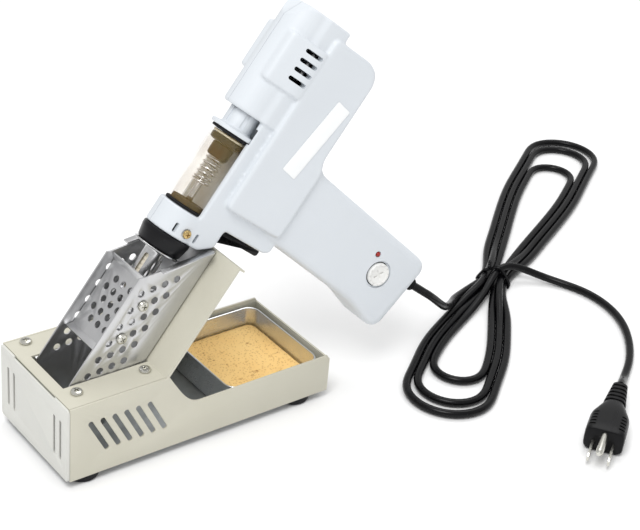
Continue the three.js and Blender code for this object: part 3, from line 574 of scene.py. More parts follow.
nickel = plated("nickel screw", (232, 231, 224), (176, 174, 165), 0.14)
brass = plated("brass", (226, 200, 142), (178, 148, 92), 0.2)
polished = plated("polished steel", (226, 226, 226), (186, 186, 188), 0.08)


def dull_black(name, size, depth, level, rough):
    """A black that is never quite even; level is its darkest tone."""
    light = (level + 10, level + 10, level + 12)
    dark = (level, level, level + 2)

    def recipe(p):
        cloud = grain(p, 9, 4.0)
        pits = grain(p, size, 2.0)
        return surface(p, cloud.mix(dark, light), rough + cloud * 0.15, pits, depth, 0.5)

    return finish(name, recipe, specular_ior_level=0.2)


rubber = dull_black("foot rubber", 0.7, 0.05, 22, 0.6)
black_plastic = dull_black("black moulding", 0.5, 0.03, 16, 0.22)
cord_vinyl = dull_black("cord vinyl", 1.4, 0.05, 2, 0.2)
plug_vinyl = dull_black("plug vinyl", 0.6, 0.04, 2, 0.3)


def sponge_recipe(p):
    large, small = (cells(p, scale) for scale in (230.0, 620.0))
    where = grain(p, 6, 3.0).step(0.5, 0.62)
    holes = (1 - large.step(0.08, 0.34)) * where
    pores = (1 - small.step(0.1, 0.42)) * 0.6
    depth = (holes + pores).clamp()
    damp = grain(p, 22, 3.0)
    body = (damp * 0.8).mix((255, 219, 148), (246, 196, 116))
    # painted shade: the pores are darkened towards deep brown where they are deepest
    tint = (depth * 0.75).clamp().mix(body, (168, 106, 42))
    return surface(p, tint, 0.88 - damp * 0.1, 1 - depth, 0.5, 0.8)


sponge_foam = finish("cellulose sponge", sponge_recipe)

# %% [markdown]
# ## Finishes of the gun
# The housing is a light blue-grey moulding with a fine spark-eroded texture. The filter tube is
# clear with a warm stain of flux vapour along it.

# %% Housing, clear tube and small parts
def housing_recipe(p):
    texture = grain(p, 0.45, 2.0)
    cloud = grain(p, 34, 3.0)
    tint = (cloud * 0.7).mix((216, 221, 226), (207, 212, 217))
    return surface(p, tint, 0.4 + cloud * 0.1 + texture * 0.06, texture, 0.035, 0.45)


housing_plastic = finish("housing moulding", housing_recipe, coat_weight=0.08, coat_roughness=0.25)


def stained_glass(p):
    stain = grain(p, 15, 3.0)
    streak = streaks(p, barrel, 30, 3)
    tone = (stain * 0.7 + streak * 0.4).step(0.35, 0.8)
    return {
        "Base Color": tone.mix((232, 208, 142), (170, 128, 60)),
        "Roughness": 0.03 + stain * 0.06,
        "Alpha": 0.05 + tone * 0.09,
    }


clear_tube = finish("clear tube", stained_glass, ior=1.47, coat_weight=0.6)


def matte(name, light, dark, size, rough, depth=0.03):
    def recipe(p):
        cloud = grain(p, size, 3.0)
        fine = grain(p, size / 8)
        return surface(p, cloud.mix(light, dark), rough + cloud * 0.12, fine, depth, 0.4)

    return finish(name, recipe)


ceramic = matte("ceramic", (238, 232, 216), (214, 204, 184), 5, 0.6)
board_green = matte("board green", (52, 122, 66), (34, 92, 48), 4, 0.35)
dial_plastic = matte("dial plastic", (240, 240, 238), (224, 224, 221), 8, 0.3)
label_film = matte("label film", (248, 249, 249), (238, 240, 241), 16, 0.42)
felt = matte("felt filter", (232, 226, 208), (204, 192, 166), 1.5, 0.9, 0.2)
lamp_red = matte("lamp red", (176, 40, 32), (132, 24, 20), 3, 0.16)
print("finishes", len(bpy.data.materials))

# %% [markdown]
# ## Sheet metal of the base
# The base is folded from sheet, so each wall is cut from a flat outline with its slots, and its
# edges are rounded a little after the cuts. Cutting with solids gives true, clean slots that a
# texture can't.

# %% Sizes of the base
SHEET = 1.2
GAP = 0.3
BASE_LENGTH = 186
HALF_WIDTH = 40
FOOT_HEIGHT = 5
DECK_TOP = 54.8
DECK_LENGTH = 66.6
SIDE_TOP = 31.4
END_TOP = 28.8
LOW_START = 89


def curve_points(a, b, c, d, steps=20):
    """A smooth curve from a to d that is drawn towards b and c."""
    a, b, c, d = (Vector(p) for p in (a, b, c, d))
    for i in range(1, steps + 1):
        t = i / steps
        yield (1 - t) ** 3 * a + 3 * t * (1 - t) ** 2 * b + 3 * t * t * (1 - t) * c + t**3 * d


def wall_outline():
    drop = DECK_TOP - SIDE_TOP
    start = (LOW_START, SIDE_TOP)
    end = (DECK_LENGTH, DECK_TOP)
    low_handle = (LOW_START - 8, SIDE_TOP)
    high_handle = (DECK_LENGTH + 9, DECK_TOP - drop * 0.62)
    curve = curve_points(start, low_handle, high_handle, end)
    return [
        (SHEET + GAP, FOOT_HEIGHT), (BASE_LENGTH, FOOT_HEIGHT), (BASE_LENGTH, END_TOP - 1),
        (BASE_LENGTH - 2, SIDE_TOP), (LOW_START, SIDE_TOP),
        *curve,
        (SHEET + GAP, DECK_TOP),
    ]


SLOT_PITCH = 7.8
slot_starts = [SLOT_PITCH * i for i in range(6)]
side_slots = [slot_outline((14.6 + x, 41), (25.4 + x, 20.8), 1.6) for x in slot_starts]
near_wall, far_wall = (
    plate(wall_outline(), low, low + SHEET) for low in (-HALF_WIDTH, HALF_WIDTH - SHEET)
)
end_half = HALF_WIDTH - 0.1
end_wall = block(BASE_LENGTH - SHEET, BASE_LENGTH, -end_half, end_half, FOOT_HEIGHT, END_TOP)
side_frame = join(shape("side_frame_coat", STAND, near_wall), STAND, far_wall, end_wall)
carve(side_frame, STAND, *[plate(s, -HALF_WIDTH - 2, HALF_WIDTH + 2) for s in side_slots])
round_edges(side_frame, 0.35)
fit(side_frame, "stand", beige_coat, "side_frame", slot="paint")

front_outline = rounded_box_outline(-HALF_WIDTH, HALF_WIDTH, FOOT_HEIGHT, DECK_TOP - GAP, 2.5)
front_panel = shape("front_panel_coat", STAND, plate(front_outline, 0, SHEET, "front"))
upright_slots = [slot_outline((y, 17.2), (y, 41.8), 1.2) for y in (-31, -24, 24, 31)]
front_slots = [plate(s, -1, SHEET + 1, "front") for s in upright_slots]
notch = block(-1, SHEET + 1, -24, 24, DECK_TOP - 1.6, DECK_TOP + 1)
carve(front_panel, STAND, notch, *front_slots)
round_edges(front_panel, 0.4)
# this coat carries painted light: the beige paint made greyer and lighter on the front face
fit(front_panel, "stand", front_lit_coat, "front_panel", slot="front_paint")
print("base walls", made)

# %% [markdown]
# ## Deck, back plate and bottom
# Deck and back plate are one folded sheet. The back plate leans with the barrel and ends in a lip
# turned backwards, on which the gun's nose rests.

# %% Deck with its back plate
slope = math.atan2(barrel.z, barrel.x)
origin_x = (gun_origin.x - stand_origin.x) / MM
origin_z = gun_origin.z / MM
PLATE_FRONT = -25.5
PLATE_TOP = 5.7
PLATE_LIP = 5
CRADLE_HALF = 18.3
CRADLE_FRONT = 15.2


def along_at(off, level):
    """How far along the barrel a line beside it reaches a height above the bench."""
    return (level - origin_z - off * math.cos(slope)) / math.sin(slope)


def x_at(off, level):
    """Where that is, measured forward along the stand."""
    return origin_x + along_at(off, level) * math.cos(slope) - off * math.sin(slope)


deck_bottom = DECK_TOP - SHEET
bend_x = x_at(PLATE_FRONT, deck_bottom)
bend_along = along_at(PLATE_FRONT, DECK_TOP)
deck_half = HALF_WIDTH - SHEET - GAP
flat = block(SHEET + GAP, bend_x + SHEET, -deck_half, deck_half, deck_bottom, DECK_TOP)
deck = shape("deck_and_back_plate", STAND, flat)
for start, back in ((bend_along, SHEET), (PLATE_TOP - SHEET, PLATE_LIP)):
    sheet = (start, PLATE_TOP, -HALF_WIDTH, HALF_WIDTH, PLATE_FRONT - back, PLATE_FRONT)
    join(deck, CRADLE, block(*sheet))
opening_start = x_at(CRADLE_FRONT, deck_bottom) - 4
opening_half = CRADLE_HALF + 0.8
opening_end = x_at(PLATE_FRONT, DECK_TOP)
carve(deck, STAND, block(opening_start, opening_end, -opening_half, opening_half, 40, 58))
round_edges(deck, 0.4)
fit(deck, "stand", beige_coat, "holder_plate", slot="paint")

bottom_low = FOOT_HEIGHT + GAP
bottom_end = BASE_LENGTH - SHEET - GAP
bottom_outline = rounded_box_outline(SHEET + GAP, bottom_end, -deck_half, deck_half, 1.5)
bottom_sheet = plate(bottom_outline, bottom_low, bottom_low + SHEET, "plan", 0.3)
bottom = shape("bottom_plate_zinc", STAND, bottom_sheet)
fit(bottom, "stand", zinc, "bottom_plate", slot="zinc")
print("back plate leans", round(math.degrees(slope), 1), "degrees")

# %% [markdown]
# ## Feet and screws
# A foot is a low rubber dome. A pan-head screw is a shallow dome with a tapered cross recess; one
# function makes them all, so that heads differ only in size and turn.

# %% Feet and screws
FOOT_RADIUS = 10.5
foot_profile = [(0, 0), (9.2, 0), (9.8, 0.15), (10.2, 0.6), (10.45, 1.8)]
foot_profile += [(FOOT_RADIUS, 3), (FOOT_RADIUS, FOOT_HEIGHT), (0, FOOT_HEIGHT)]
for i in range(1, 5):
    node = f"foot_{i}"
    low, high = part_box(node)
    centre = Matrix.Translation(((low.x + high.x) / 2, (low.y + high.y) / 2, 0))
    foot = (f"rubber_{node}", centre @ Matrix.Scale(MM, 4), foot_profile)
    spun(*foot, "stand", rubber, node, slot="rubber", axis="z", segments=40)


DOME = ((0.96, 0), (1, 0.15), (0.98, 0.42), (0.86, 0.74), (0.6, 0.93), (0, 1))


def screw(name, place, head, height, shank, length, body, metal, node, turn):
    """A pan-head screw that stands on its place, with a cross recess."""
    profile = [(0, -length), (shank * 0.7, -length), (shank, -length + 0.6), (shank, 0)]
    profile += [(head * share, height * level) for share, level in DOME]
    place = at(place, turn=turn)
    thing = shape(name, place, turned(profile, "z", 32))
    arm, width = head * 0.56, head * 0.13
    corners = ((-1, -1), (1, -1), (1, 1), (-1, 1))
    for a, b in ((arm, width), (width, arm)):
        levels = ((0.7, height * 0.35), (1, height * 1.2))
        recess = [[(x * a * share, y * b * share, z) for x, y in corners] for share, z in levels]
        carve(thing, place, skin(recess))
    round_edges(thing, 0.08, 1)
    return fit(thing, body, metal, node)


for i, (x, y) in enumerate(((13, -26.5), (58, -26.5), (13, 33.5), (58, 33.5))):
    place, name = at(STAND, x, y, DECK_TOP + GAP), f"deck_screw_{i + 1}"
    screw(f"pan_screw_{i + 1}", place, 3.7, 2.0, 1.3, 4, "stand", nickel, name, 0.3 + 0.5 * i)

HOLE_PITCH = 11.3
HOLE_START = -93.2
HOLE_TOP = 7.6
screw_places = [(HOLE_START + HOLE_PITCH * n, HOLE_TOP - HOLE_PITCH / 2) for n in (2.5, 4.5)]
side_places = [(side, *spot) for side in (-1, 1) for spot in screw_places]
for i, (side, along, off) in enumerate(side_places, 1):
    place = at(CRADLE, along, side * (CRADLE_HALF + GAP), off, -side * QUARTER_TURN, "X")
    name = f"cradle_screw_{i}"
    screw(f"side_screw_{i}", place, 3.4, 2.0, 1.3, 3.2, "stand", nickel, name, i)
print("feet and screws", len([n for n in made if "screw" in n or "foot" in n]))

# %% [markdown]
# ## Perforated cradle
# One stainless channel holds the gun: two walls and a back folded from a sheet punched with a
# staggered pattern of round holes. The channel is made as its folded section drawn out along the
# barrel, then trimmed to the walls' slanted tops and punched through both walls at once.

# %% Channel
CRADLE_SHEET = 1.0
CRADLE_BACK = -25.2
CRADLE_FOOT = -118
HOLE_RADIUS = 2.25
FOLD = 2.2


def channel_section():
    """The folded sheet across the barrel: outer line, then inner line back."""

    def line(out):
        half = CRADLE_HALF - out
        back = CRADLE_BACK + out
        fold = FOLD - out
        points = [(-half, CRADLE_FRONT)]
        for cx, first in ((-half + fold, 180), (half - fold, 270)):
            for k in range(6):
                t = math.radians(first + 18 * k)
                points.append((cx + fold * math.cos(t), back + fold + fold * math.sin(t)))
        return points + [(half, CRADLE_FRONT)]

    return line(0) + line(CRADLE_SHEET)[::-1]


section = channel_section()
rings = [[(a, y, h) for y, h in section] for a in (CRADLE_FOOT, PLATE_TOP - 1)]
channel = shape("cradle_channel_steel", CRADLE, skin(rings))
top_trim = [
    (PLATE_TOP - 1, CRADLE_BACK + 4), (PLATE_TOP - 34, CRADLE_FRONT - 2),
    (PLATE_TOP - 36, CRADLE_FRONT + 2), (30, 30), (30, -21),
]
holes = []
for row in range(4):
    for i in range(6):
        along = HOLE_START + HOLE_PITCH * (i + row / 2)
        off = HOLE_TOP - HOLE_PITCH / 2 * row
        if row == 1 and any(abs(a - along) < 1 for a, _ in screw_places):
            continue
        holes.append(circle(along, off, HOLE_RADIUS))
carve(channel, CRADLE, plate(top_trim, -30, 30), *[plate(hole, -25, 25) for hole in holes])
edge = [
    (PLATE_TOP - 2, CRADLE_BACK + 5), (PLATE_TOP - 1.2, CRADLE_BACK + 5.6),
    (PLATE_TOP - 25, CRADLE_BACK + 30.6), (PLATE_TOP - 25.8, CRADLE_BACK + 30),
]
for y0, y1 in ((-CRADLE_HALF - 4, -CRADLE_HALF + 0.5), (CRADLE_HALF - 0.5, CRADLE_HALF + 4)):
    join(channel, CRADLE, plate(edge, y0, y1))
round_edges(channel, 0.18, 2, 40)
fit(channel, "stand", cradle_steel, "cradle_channel", slot="stainless")
print("holes in each wall", len(holes))

# %% [markdown]
# ## Cradle cover
# A second punched sheet bridges the walls in front of the nozzle. Its ends are turned outwards as
# guides, and its sides go down inside the walls, where the screws hold it.

# %% Cover
COVER_TOP = 8.2
COVER_START = -77
COVER_END = -30
cover_half = CRADLE_HALF - CRADLE_SHEET - GAP


def thickened(path, thickness):
    """A band of even thickness that follows a line."""
    points = [Vector(p) for p in path]
    upper, lower = [], []
    for i, point in enumerate(points):
        heading = (points[min(i + 1, len(points) - 1)] - points[max(i - 1, 0)]).normalized()
        normal = Vector((-heading.y, heading.x)) * thickness / 2
        upper.append(point + normal)
        lower.append(point - normal)
    return upper + lower[::-1]


flat_start, flat_end = COVER_START + 1.6, COVER_END - 1.6
cover_line = [
    (COVER_START - 2.0, COVER_TOP + 3), (flat_start, COVER_TOP - 0.5),
    (flat_end, COVER_TOP - 0.5), (COVER_END + 2.0, COVER_TOP + 3),
]
band = plate(thickened(cover_line, CRADLE_SHEET), -cover_half, cover_half)
cover = shape("cradle_cover_steel", CRADLE, band)
for y0 in (-cover_half, cover_half - CRADLE_SHEET):
    y1 = y0 + CRADLE_SHEET
    join(cover, CRADLE, block(flat_start, flat_end, y0, y1, COVER_TOP - 10, COVER_TOP - 0.3))
cover_holes = []
for row in range(5):
    for column in (-1, 0, 1):
        shift = 0.5 if row % 2 else -0.5
        hole = circle(-66.7 + 6.8 * row, 3.9 * (2 * column + shift), HOLE_RADIUS)
        cover_holes.append(plate(hole, 2, 14, "plan"))
carve(cover, CRADLE, *cover_holes)
carve(cover, CRADLE, *[plate(circle(a, h, 1.6), -20, 20) for a, h in screw_places])
round_edges(cover, 0.18, 2, 40)
fit(cover, "stand", cradle_steel, "cradle_cover", slot="stainless")

# %% [markdown]
# ## Sponge tray and sponge
# The tray is pressed from thin steel: its walls lean a touch, its rim rolls outwards and its
# floor meets the walls in a small curve. It is skinned from rounded rings. The sponge is a dense
# slab with soft edges, its top lifted and dented by smooth noise before the pores of the finish.

# %% Tray
TRAY = (113, 181, -37, 37)
TRAY_CORNER = 8
TRAY_LOW = FOOT_HEIGHT + 2 * GAP + SHEET
TRAY_RIM = TRAY_LOW + 21.5


def inside_tray(margin):
    x0, x1, y0, y1 = TRAY
    return x0 + margin, x1 - margin, y0 + margin, y1 - margin


def tray_ring(shrink, level, steps=8):
    """The tray's outline at a level, moved inwards, with tighter corners the further in."""
    corner = TRAY_CORNER - shrink * 0.7
    outline = rounded_box_outline(*inside_tray(shrink), corner, steps)
    return [(x, y, level) for x, y in outline]


low, rim = TRAY_LOW, TRAY_RIM
outside = [(2.4, low), (1.3, low + 0.5), (0.7, low + 1.8), (0.3, rim - 1.4)]
rolled_rim = [(0.0, rim - 0.9), (0.0, rim - 0.3), (0.4, rim), (0.9, rim - 0.2), (1.1, rim - 0.8)]
inner_side = [(1.5, low + 2.2), (2.2, low + 1.1), (3.4, low + 0.8)]
tray_rings = [tray_ring(*ring) for ring in outside + rolled_rim + inner_side]
tray = shape("tray_steel", STAND, skin(tray_rings))
fit(tray, "tray", tray_steel, "sponge_tray", slot="stainless")

# %% Sponge
SPONGE_LOW = TRAY_LOW + 0.8 + GAP
SPONGE_TOP = SPONGE_LOW + 9
SPONGE_EDGE = 2.6
GRID = 1.0


def sponge_mesh():
    """A slab on a fine even mesh, whose top and sides are moved a little by smooth noise."""
    outline = rounded_box_outline(*inside_tray(SPONGE_EDGE), 6)
    slab = plate(outline, SPONGE_LOW + 0.4, SPONGE_TOP, "plan", 1.2)
    thing = shape("sponge_slab", STAND, slab)
    apply_modifiers(modify(thing, "REMESH", mode="VOXEL", voxel_size=GRID * MM))
    middle_x = (TRAY[0] + TRAY[1]) / 2 + stand_origin.x / MM
    for vertex in thing.data.vertices:
        p = vertex.co / MM
        wave = noise.noise(p * 0.045) * 0.5 + noise.noise(p * 0.4) * 0.22
        edge = noise.noise(p * 0.12 + Vector((7, 3, 1))) * 0.5
        upper = min(1, max(0, (p.z - SPONGE_LOW - 3) / 5))
        centre = Vector((middle_x, stand_origin.y / MM, p.z))
        outward = (p - centre).normalized()
        vertex.co += MM * (upper * Vector((0, 0, wave - 0.3)) + outward * min(0.3, edge))
    return thing


sponge = sponge_mesh()
fit(sponge, "sponge", sponge_foam, "sponge", slot="sponge")
print("sponge faces", made["sponge_slab"])

# %% [markdown]
# ## Gun housing
# The housing is two moulded halves. A moulding has no hard inside corners: every block flows into
# the next in a small curve. So the outer form is built from rounded blocks, melted into one skin
# on a fine even mesh and relaxed a little. Then it is hollowed, its vents, saddle and bores are
# cut clean, and it is parted down the middle.

# %% Sizes of the housing
WALL = 2.4
NOSE_RADIUS = 15.3
NOSE_LENGTH = 16.7
TUBE_RADIUS = 12.2
BLOCK_FRONT = 82
BLOCK_BACK = 152.6
PANEL_HALF = 20
GRIP_HALF = 17
FLANGE_RADIUS = 14.6
SLIDER_FACE = 68.1
STEM_RADIUS = 9.4
GLAND_ALONG = 47.8
THROAT = -23.4
MELT = 0.8  # mesh size of the melted skin
BELOW_NOSE = -12.3  # level under which the panel begins
LAMP = (53.7, -130.5)
NOSE_SCREW = (5.5, -1)
HALF_SCREWS = (((92, -40), PANEL_HALF), ((36, -152), GRIP_HALF))  # place, wall it stands on
PARTING = 0.15  # half the line between the two halves

throat_outline = [
    (0, -7), (0, -14), (6, THROAT), (17.7, THROAT), (17.7, -56), (20, -60), (34, -60), (34, -12),
    (90, -12), (90, -3.7), (NOSE_LENGTH, -3.7), (NOSE_LENGTH, 0), (6, 0),
]
panel_outline = [
    (30, -14.5), (30, -57), (76, -57), (83.4, -52.9), (136, -52.9), (142.5, -50), (146, -43),
    (146, BELOW_NOSE), (32, BELOW_NOSE),
]
grip_outline = [
    (24.7, -54), (24.7, -62), (18.6, -134), (11.7, -158), (13, -163), (17, -166), (59, -172.4),
    (64, -169.6), (65.4, -165), (76.4, -62), (84, -54), (84, -40), (30, -40),
]
vent_section = [
    (-20.4, -14), (20.4, -14), (20.4, -6), (14.9, 12.7), (-14.9, 12.7), (-20.4, -6),
]


def block_ring(along, shrink):
    """The rear block across the barrel: a half-round top on straight sides."""
    half, radius = 17.3 - shrink, NOSE_RADIUS - shrink
    ring = [(along, -half, -20), (along, -half, -4)]
    for i in range(17):
        t = math.pi * (1 - i / 16)
        ring.append((along, radius * math.cos(t), max(0, radius * math.sin(t))))
    return ring + [(along, half, -4), (along, half, -20)]

# %% Outer form of the housing
def outer_form():
    """Nose, throat, panel, grip, rear block and vent housing, melted into one skin."""
    nose_end = [(NOSE_RADIUS, NOSE_LENGTH - 0.5), (14.6, NOSE_LENGTH), (0, NOSE_LENGTH)]
    nose = turned([(0, 0), (14.4, 0), (NOSE_RADIUS, 0.7), *nose_end])
    throat = plate(softened(throat_outline, 2.0), -NOSE_RADIUS, NOSE_RADIUS, "side", 1.4)
    panel = plate(softened(panel_outline, 3.6), -PANEL_HALF, PANEL_HALF, "side", 2.0)
    grip = plate(softened(grip_outline, 6.0), -GRIP_HALF, GRIP_HALF, "side", 5.0)
    front = [(BLOCK_FRONT, 1.4), (BLOCK_FRONT + 0.4, 0.4), (BLOCK_FRONT + 1.4, 0)]
    back = [(BLOCK_BACK - 1.4, 0), (BLOCK_BACK - 0.4, 0.4), (BLOCK_BACK, 1.4)]
    rear = skin([block_ring(a, s) for a, s in front + back])
    vents = plate(softened(vent_section, 3.0), 104, 135.4, "front", 1.6)
    form = shape("housing", GUN, nose, throat, panel, grip, rear, vents)
    modify(form, "REMESH", mode="VOXEL", voxel_size=MELT * MM)
    modify(form, "SMOOTH", factor=0.5, iterations=3)
    return apply_modifiers(form)


housing = outer_form()
print("melted skin", len(housing.data.polygons), "faces")

# %% Hollow it and cut its openings
def hollow():
    """The space inside the walls."""
    throat = block(20.1, 31.6, -12.9, 12.9, -57.6, -16)
    panel_front = [(32.4, -15.5), (32.4, -54.6), (75, -54.6), (82.6, -50.5)]
    panel_back = [(135, -50.5), (143.6, -42), (143.6, -15.5)]
    panel = plate(panel_front + panel_back, -17.4, 17.4)
    grip = plate(inset(grip_outline, 2.8), -14.2, 14.2)
    rear = skin([[(a, *ring[1:]) for ring in block_ring(a, WALL)] for a in (84.4, 140)])
    return join(shape("hollow", GUN, throat), GUN, panel, grip, rear)


def bore(radius, start, end, segments=48):
    """A round hole along the barrel."""
    return turned([(0, start), (radius, start), (radius, end), (0, end)], segments=segments)


def openings():
    """Saddle, slider bay, bores, nose cavity, trigger slot, sloping back, vents and nose slots."""
    room, front, back = NOSE_RADIUS - WALL, WALL, NOSE_LENGTH - WALL
    slope_back = [(-11.6, 15.4), (1, 8.6), (4, 24), (-12, 24)]
    cuts = [
        bore(13.1, NOSE_LENGTH, BLOCK_FRONT),
        bore(15.1, SLIDER_FACE - 0.6, SLIDER_FACE + 9.2),
        bore(2.9, -1, 18, 24),
        turned([(6, front), (room, front), (room, back), (6, back), (6, front)]),
        bore(9.9, BLOCK_FRONT - 1, BLOCK_FRONT + 4),
        block(16.5, 21.4, -5.1, 5.1, -62.5, -28, 0.4),
        plate([(BLOCK_BACK + a, level) for a, level in slope_back], -22, 22),
    ]
    vents = [((112.5 + 6 * i, 0.2), (112.5 + 6 * i, -9.8), 1.25) for i in range(4)]
    nose_slots = [((3.6, level), (7.6, level), 1.05) for level in (6.6, -8.4)]
    for y0, y1 in ((-24, -11), (11, 24)):
        cuts += [plate(slot_outline(*slot), y0, y1) for slot in vents + nose_slots]
    return cuts


def round_cuts():
    """Bores that run across the gun or down the grip, each about its own axis."""
    dial = (DIAL.x, DIAL.z)
    across_gun = (
        (dial, 9.2, -GRIP_HALF - 1, -GRIP_HALF + 1.3), (dial, 8.2, -GRIP_HALF, -GRIP_HALF + 4),
        (LAMP, 2.0, -GRIP_HALF - 1, -GRIP_HALF + 4), (NOSE_SCREW, 3.1, -NOSE_RADIUS - 1, -14.6),
        (NOSE_SCREW, 1.6, -NOSE_RADIUS - 1, -8),
        *((spot, 1.6, 10, half + 1) for spot, half in HALF_SCREWS),
    )
    cuts = [plate(circle(*spot, radius, 40), y0, y1) for spot, radius, y0, y1 in across_gun]
    return cuts + [plate(circle(GLAND_ALONG, 0, 4.5, 32), -180, -160, "plan")]


combine(housing, hollow(), "DIFFERENCE")
carve(housing, GUN, *openings(), *round_cuts())

halves = (("near", "left", -40, -PARTING), ("far", "right", PARTING, 40))
for side, node_side, low, high in halves:
    half = bpy.data.objects.new(f"housing_{side}_half", housing.data.copy())
    bpy.context.scene.collection.objects.link(half)
    carve(half, GUN, block(-10, 170, low, high, -190, 40), operation="INTERSECT")
    fit(half, "gun", housing_plastic, f"housing_{node_side}", slot="housing")
bpy.data.objects.remove(housing)
print("halves", {name: faces for name, faces in made.items() if "half" in name})

# %% [markdown]
# ## Hot end
# Behind the hollow nozzle sits the heater in a polished sleeve with long cooling slots, then a
# bright flange and a black heat-proof collar. They are turned parts, so each is a profile spun
# round.

# %% Collar, sleeve, heater and pipe
TIP = -10.8
SLEEVE_RADIUS = 6.9
SLEEVE_END = TIP - 34

collar_profile = [
    (7.9, -0.3), (14.9, -0.3), (15.4, -0.7), (15.5, -3.0), (15.3, -3.6), (14.2, -9.4),
    (13.6, -10.3), (13.0, -10.5), (7.9, -10.5), (7.9, -0.3),
]
spun(
    "heat_collar", GUN, collar_profile, "gun", black_plastic, "collar", slot="black", segments=64
)

sleeve_profile = [
    (6.2, SLEEVE_END), (6.7, SLEEVE_END), (SLEEVE_RADIUS, SLEEVE_END + 0.3),
    (SLEEVE_RADIUS, TIP - 3.0), (7.4, TIP - 1.6), (8.6, TIP - 1.1), (15.0, TIP - 1.1),
    (15.3, TIP - 0.8), (15.3, TIP - 0.3), (15.0, TIP), (6.2, TIP), (6.2, SLEEVE_END),
]
sleeve = shape("heater_sleeve", GUN, turned(sleeve_profile, segments=64))
cooling_slot = plate(slot_outline((SLEEVE_END + 6, 0), (TIP - 7, 0), 1.6), 2, 9)
for i in range(4):
    carve(sleeve, at(GUN, turn=math.pi / 2 * i + 0.5, axis="X"), cooling_slot)
round_edges(sleeve, 0.12, 2, 45)
fit(sleeve, "gun", polished, "heater_shroud", slot="steel")

core_profile = [(2.0, -42.8), (4.4, -42.8)]
for i in range(9):
    start = -41.6 + 3.0 * i
    core_profile += [(4.9, start), (4.9, start + 1.8), (4.4, start + 2.1), (4.4, start + 2.7)]
core_profile += [(4.9, -14), (2.0, -14), (2.0, -42.8)]
spun(
    "ceramic_heater", GUN, core_profile, "gun", ceramic, "heater_core", slot="ceramic", segments=32
)


def pipe_profile(inner, outer, start, end, rim):
    """A pipe's wall, with its outer rims taken off."""
    flat, front, back = outer - 0.2, start + rim, end - rim
    wall = [(flat, start), (outer, front), (outer, back), (flat, end)]
    return [(inner, start), *wall, (inner, end), (inner, start)]


suction = pipe_profile(0.8, 1.7, -45.3, 15.7, 0.3)
spun("steel_pipe", GUN, suction, "gun", polished, "suction_pipe", slot="steel", segments=24)

# %% Nozzle
nozzle_profile = [
    (0.8, -45.6), (4.2, -45.6), (4.6, -46.0), (4.6, -50.2), (4.2, -50.8), (3.3, -51.8),
    (3.2, -55.4), (2.9, -56.2), (1.7, -61.0), (1.3, -61.6), (0.8, -61.6), (0.8, -45.6),
]
nozzle = shape("solder_nozzle", GUN, turned(nozzle_profile, segments=36))
for y in (-5.2, 5.2):
    carve(nozzle, GUN, block(-50.2, -46.4, y - 1, y + 1, -4, 4))
fit(nozzle, "gun", polished, "nozzle", slot="steel")
print("hot end done")

# %% [markdown]
# ## Filter cartridge
# A clear tube between two rubber gaskets catches the molten solder. Inside, a coil spring stands
# in front of a dark carrier with its felt disc. The tube is a real thin wall with rounded ends,
# so that its rims catch the light as glass does.

# %% Clear tube
TUBE_START = 18.9
TUBE_END = 65.9
TUBE_INNER = 10.7
tube_profile = [
    (TUBE_INNER, TUBE_START + 0.6), (TUBE_INNER + 0.5, TUBE_START),
    (TUBE_RADIUS - 0.5, TUBE_START), (TUBE_RADIUS, TUBE_START + 0.6),
    (TUBE_RADIUS, TUBE_END - 0.6), (TUBE_RADIUS - 0.5, TUBE_END), (TUBE_INNER + 0.5, TUBE_END),
    (TUBE_INNER, TUBE_END - 0.6), (TUBE_INNER, TUBE_START + 0.6),
]
spun(
    "glass_tube", GUN, tube_profile, "cartridge", clear_tube, "filter_tube",
    slot="clear", segments=72,
)

# %% Gaskets and springs
def gasket(name, start, plug, node):
    """A flat ring that seals the tube's end, with a shallow plug that reaches into it."""
    end = start + 1.6
    inward = plug > 0
    a, b = (end, start) if inward else (start, end)
    lean = 1 if inward else -1
    profile = [
        (4, b), (12.4, b), (12.8, b + 0.3 * lean), (12.8, a - 0.3 * lean), (12.4, a),
        (TUBE_INNER - 0.4, a), (TUBE_INNER - 0.6, a + plug), (4, a + plug), (4, b),
    ]
    return spun(name, GUN, profile, "cartridge", rubber, node, slot="rubber")


gasket("front_seal", 17.0, 3.0, "front_gasket")
gasket("rear_seal", 66.2, -0.25, "rear_gasket")


CLOSED_TURNS = 0.6  # of a spring, at each end


def coil(radius, start, end, turns, per_turn=20):
    """The line of a wire spring: open coils, with a closed coil at each end."""
    line = []
    count = int(turns * per_turn)
    for i in range(count + 1):
        t = i / count
        ease = min(1, max(0, (t * turns - CLOSED_TURNS) / (turns - 2 * CLOSED_TURNS)))
        angle = 2 * math.pi * turns * t
        along = start + (end - start) * ease
        line.append((along, radius * math.cos(angle), radius * math.sin(angle)))
    return line


def pressed_spring(name, place, wire, line, node):
    """A coil spring baked in its place; it rides on no body."""
    spring = shape(name, place, swept(line, wire / 2, 8))
    shade(spring)
    spring.data.materials.append(polished)
    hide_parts(node)
    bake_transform(spring)
    return spring


catch_line = coil(5.3, 34.6, 56.2, 8)
catch_spring = shape("catch_spring", GUN, swept(catch_line, 0.55, 8))
fit(catch_spring, "cartridge", polished, "prefilter_spring", slot="steel")
inlet = pipe_profile(1.0, 2.1, 19.5, 38, 0.4)
spun("inlet_pipe", GUN, inlet, "cartridge", polished, slot="steel", segments=28)

# %% Carrier and disc
def from_end(*profile):
    """A profile whose lengths are measured back from the tube's rear end."""
    return [(radius, TUBE_END - back) for radius, back in profile]


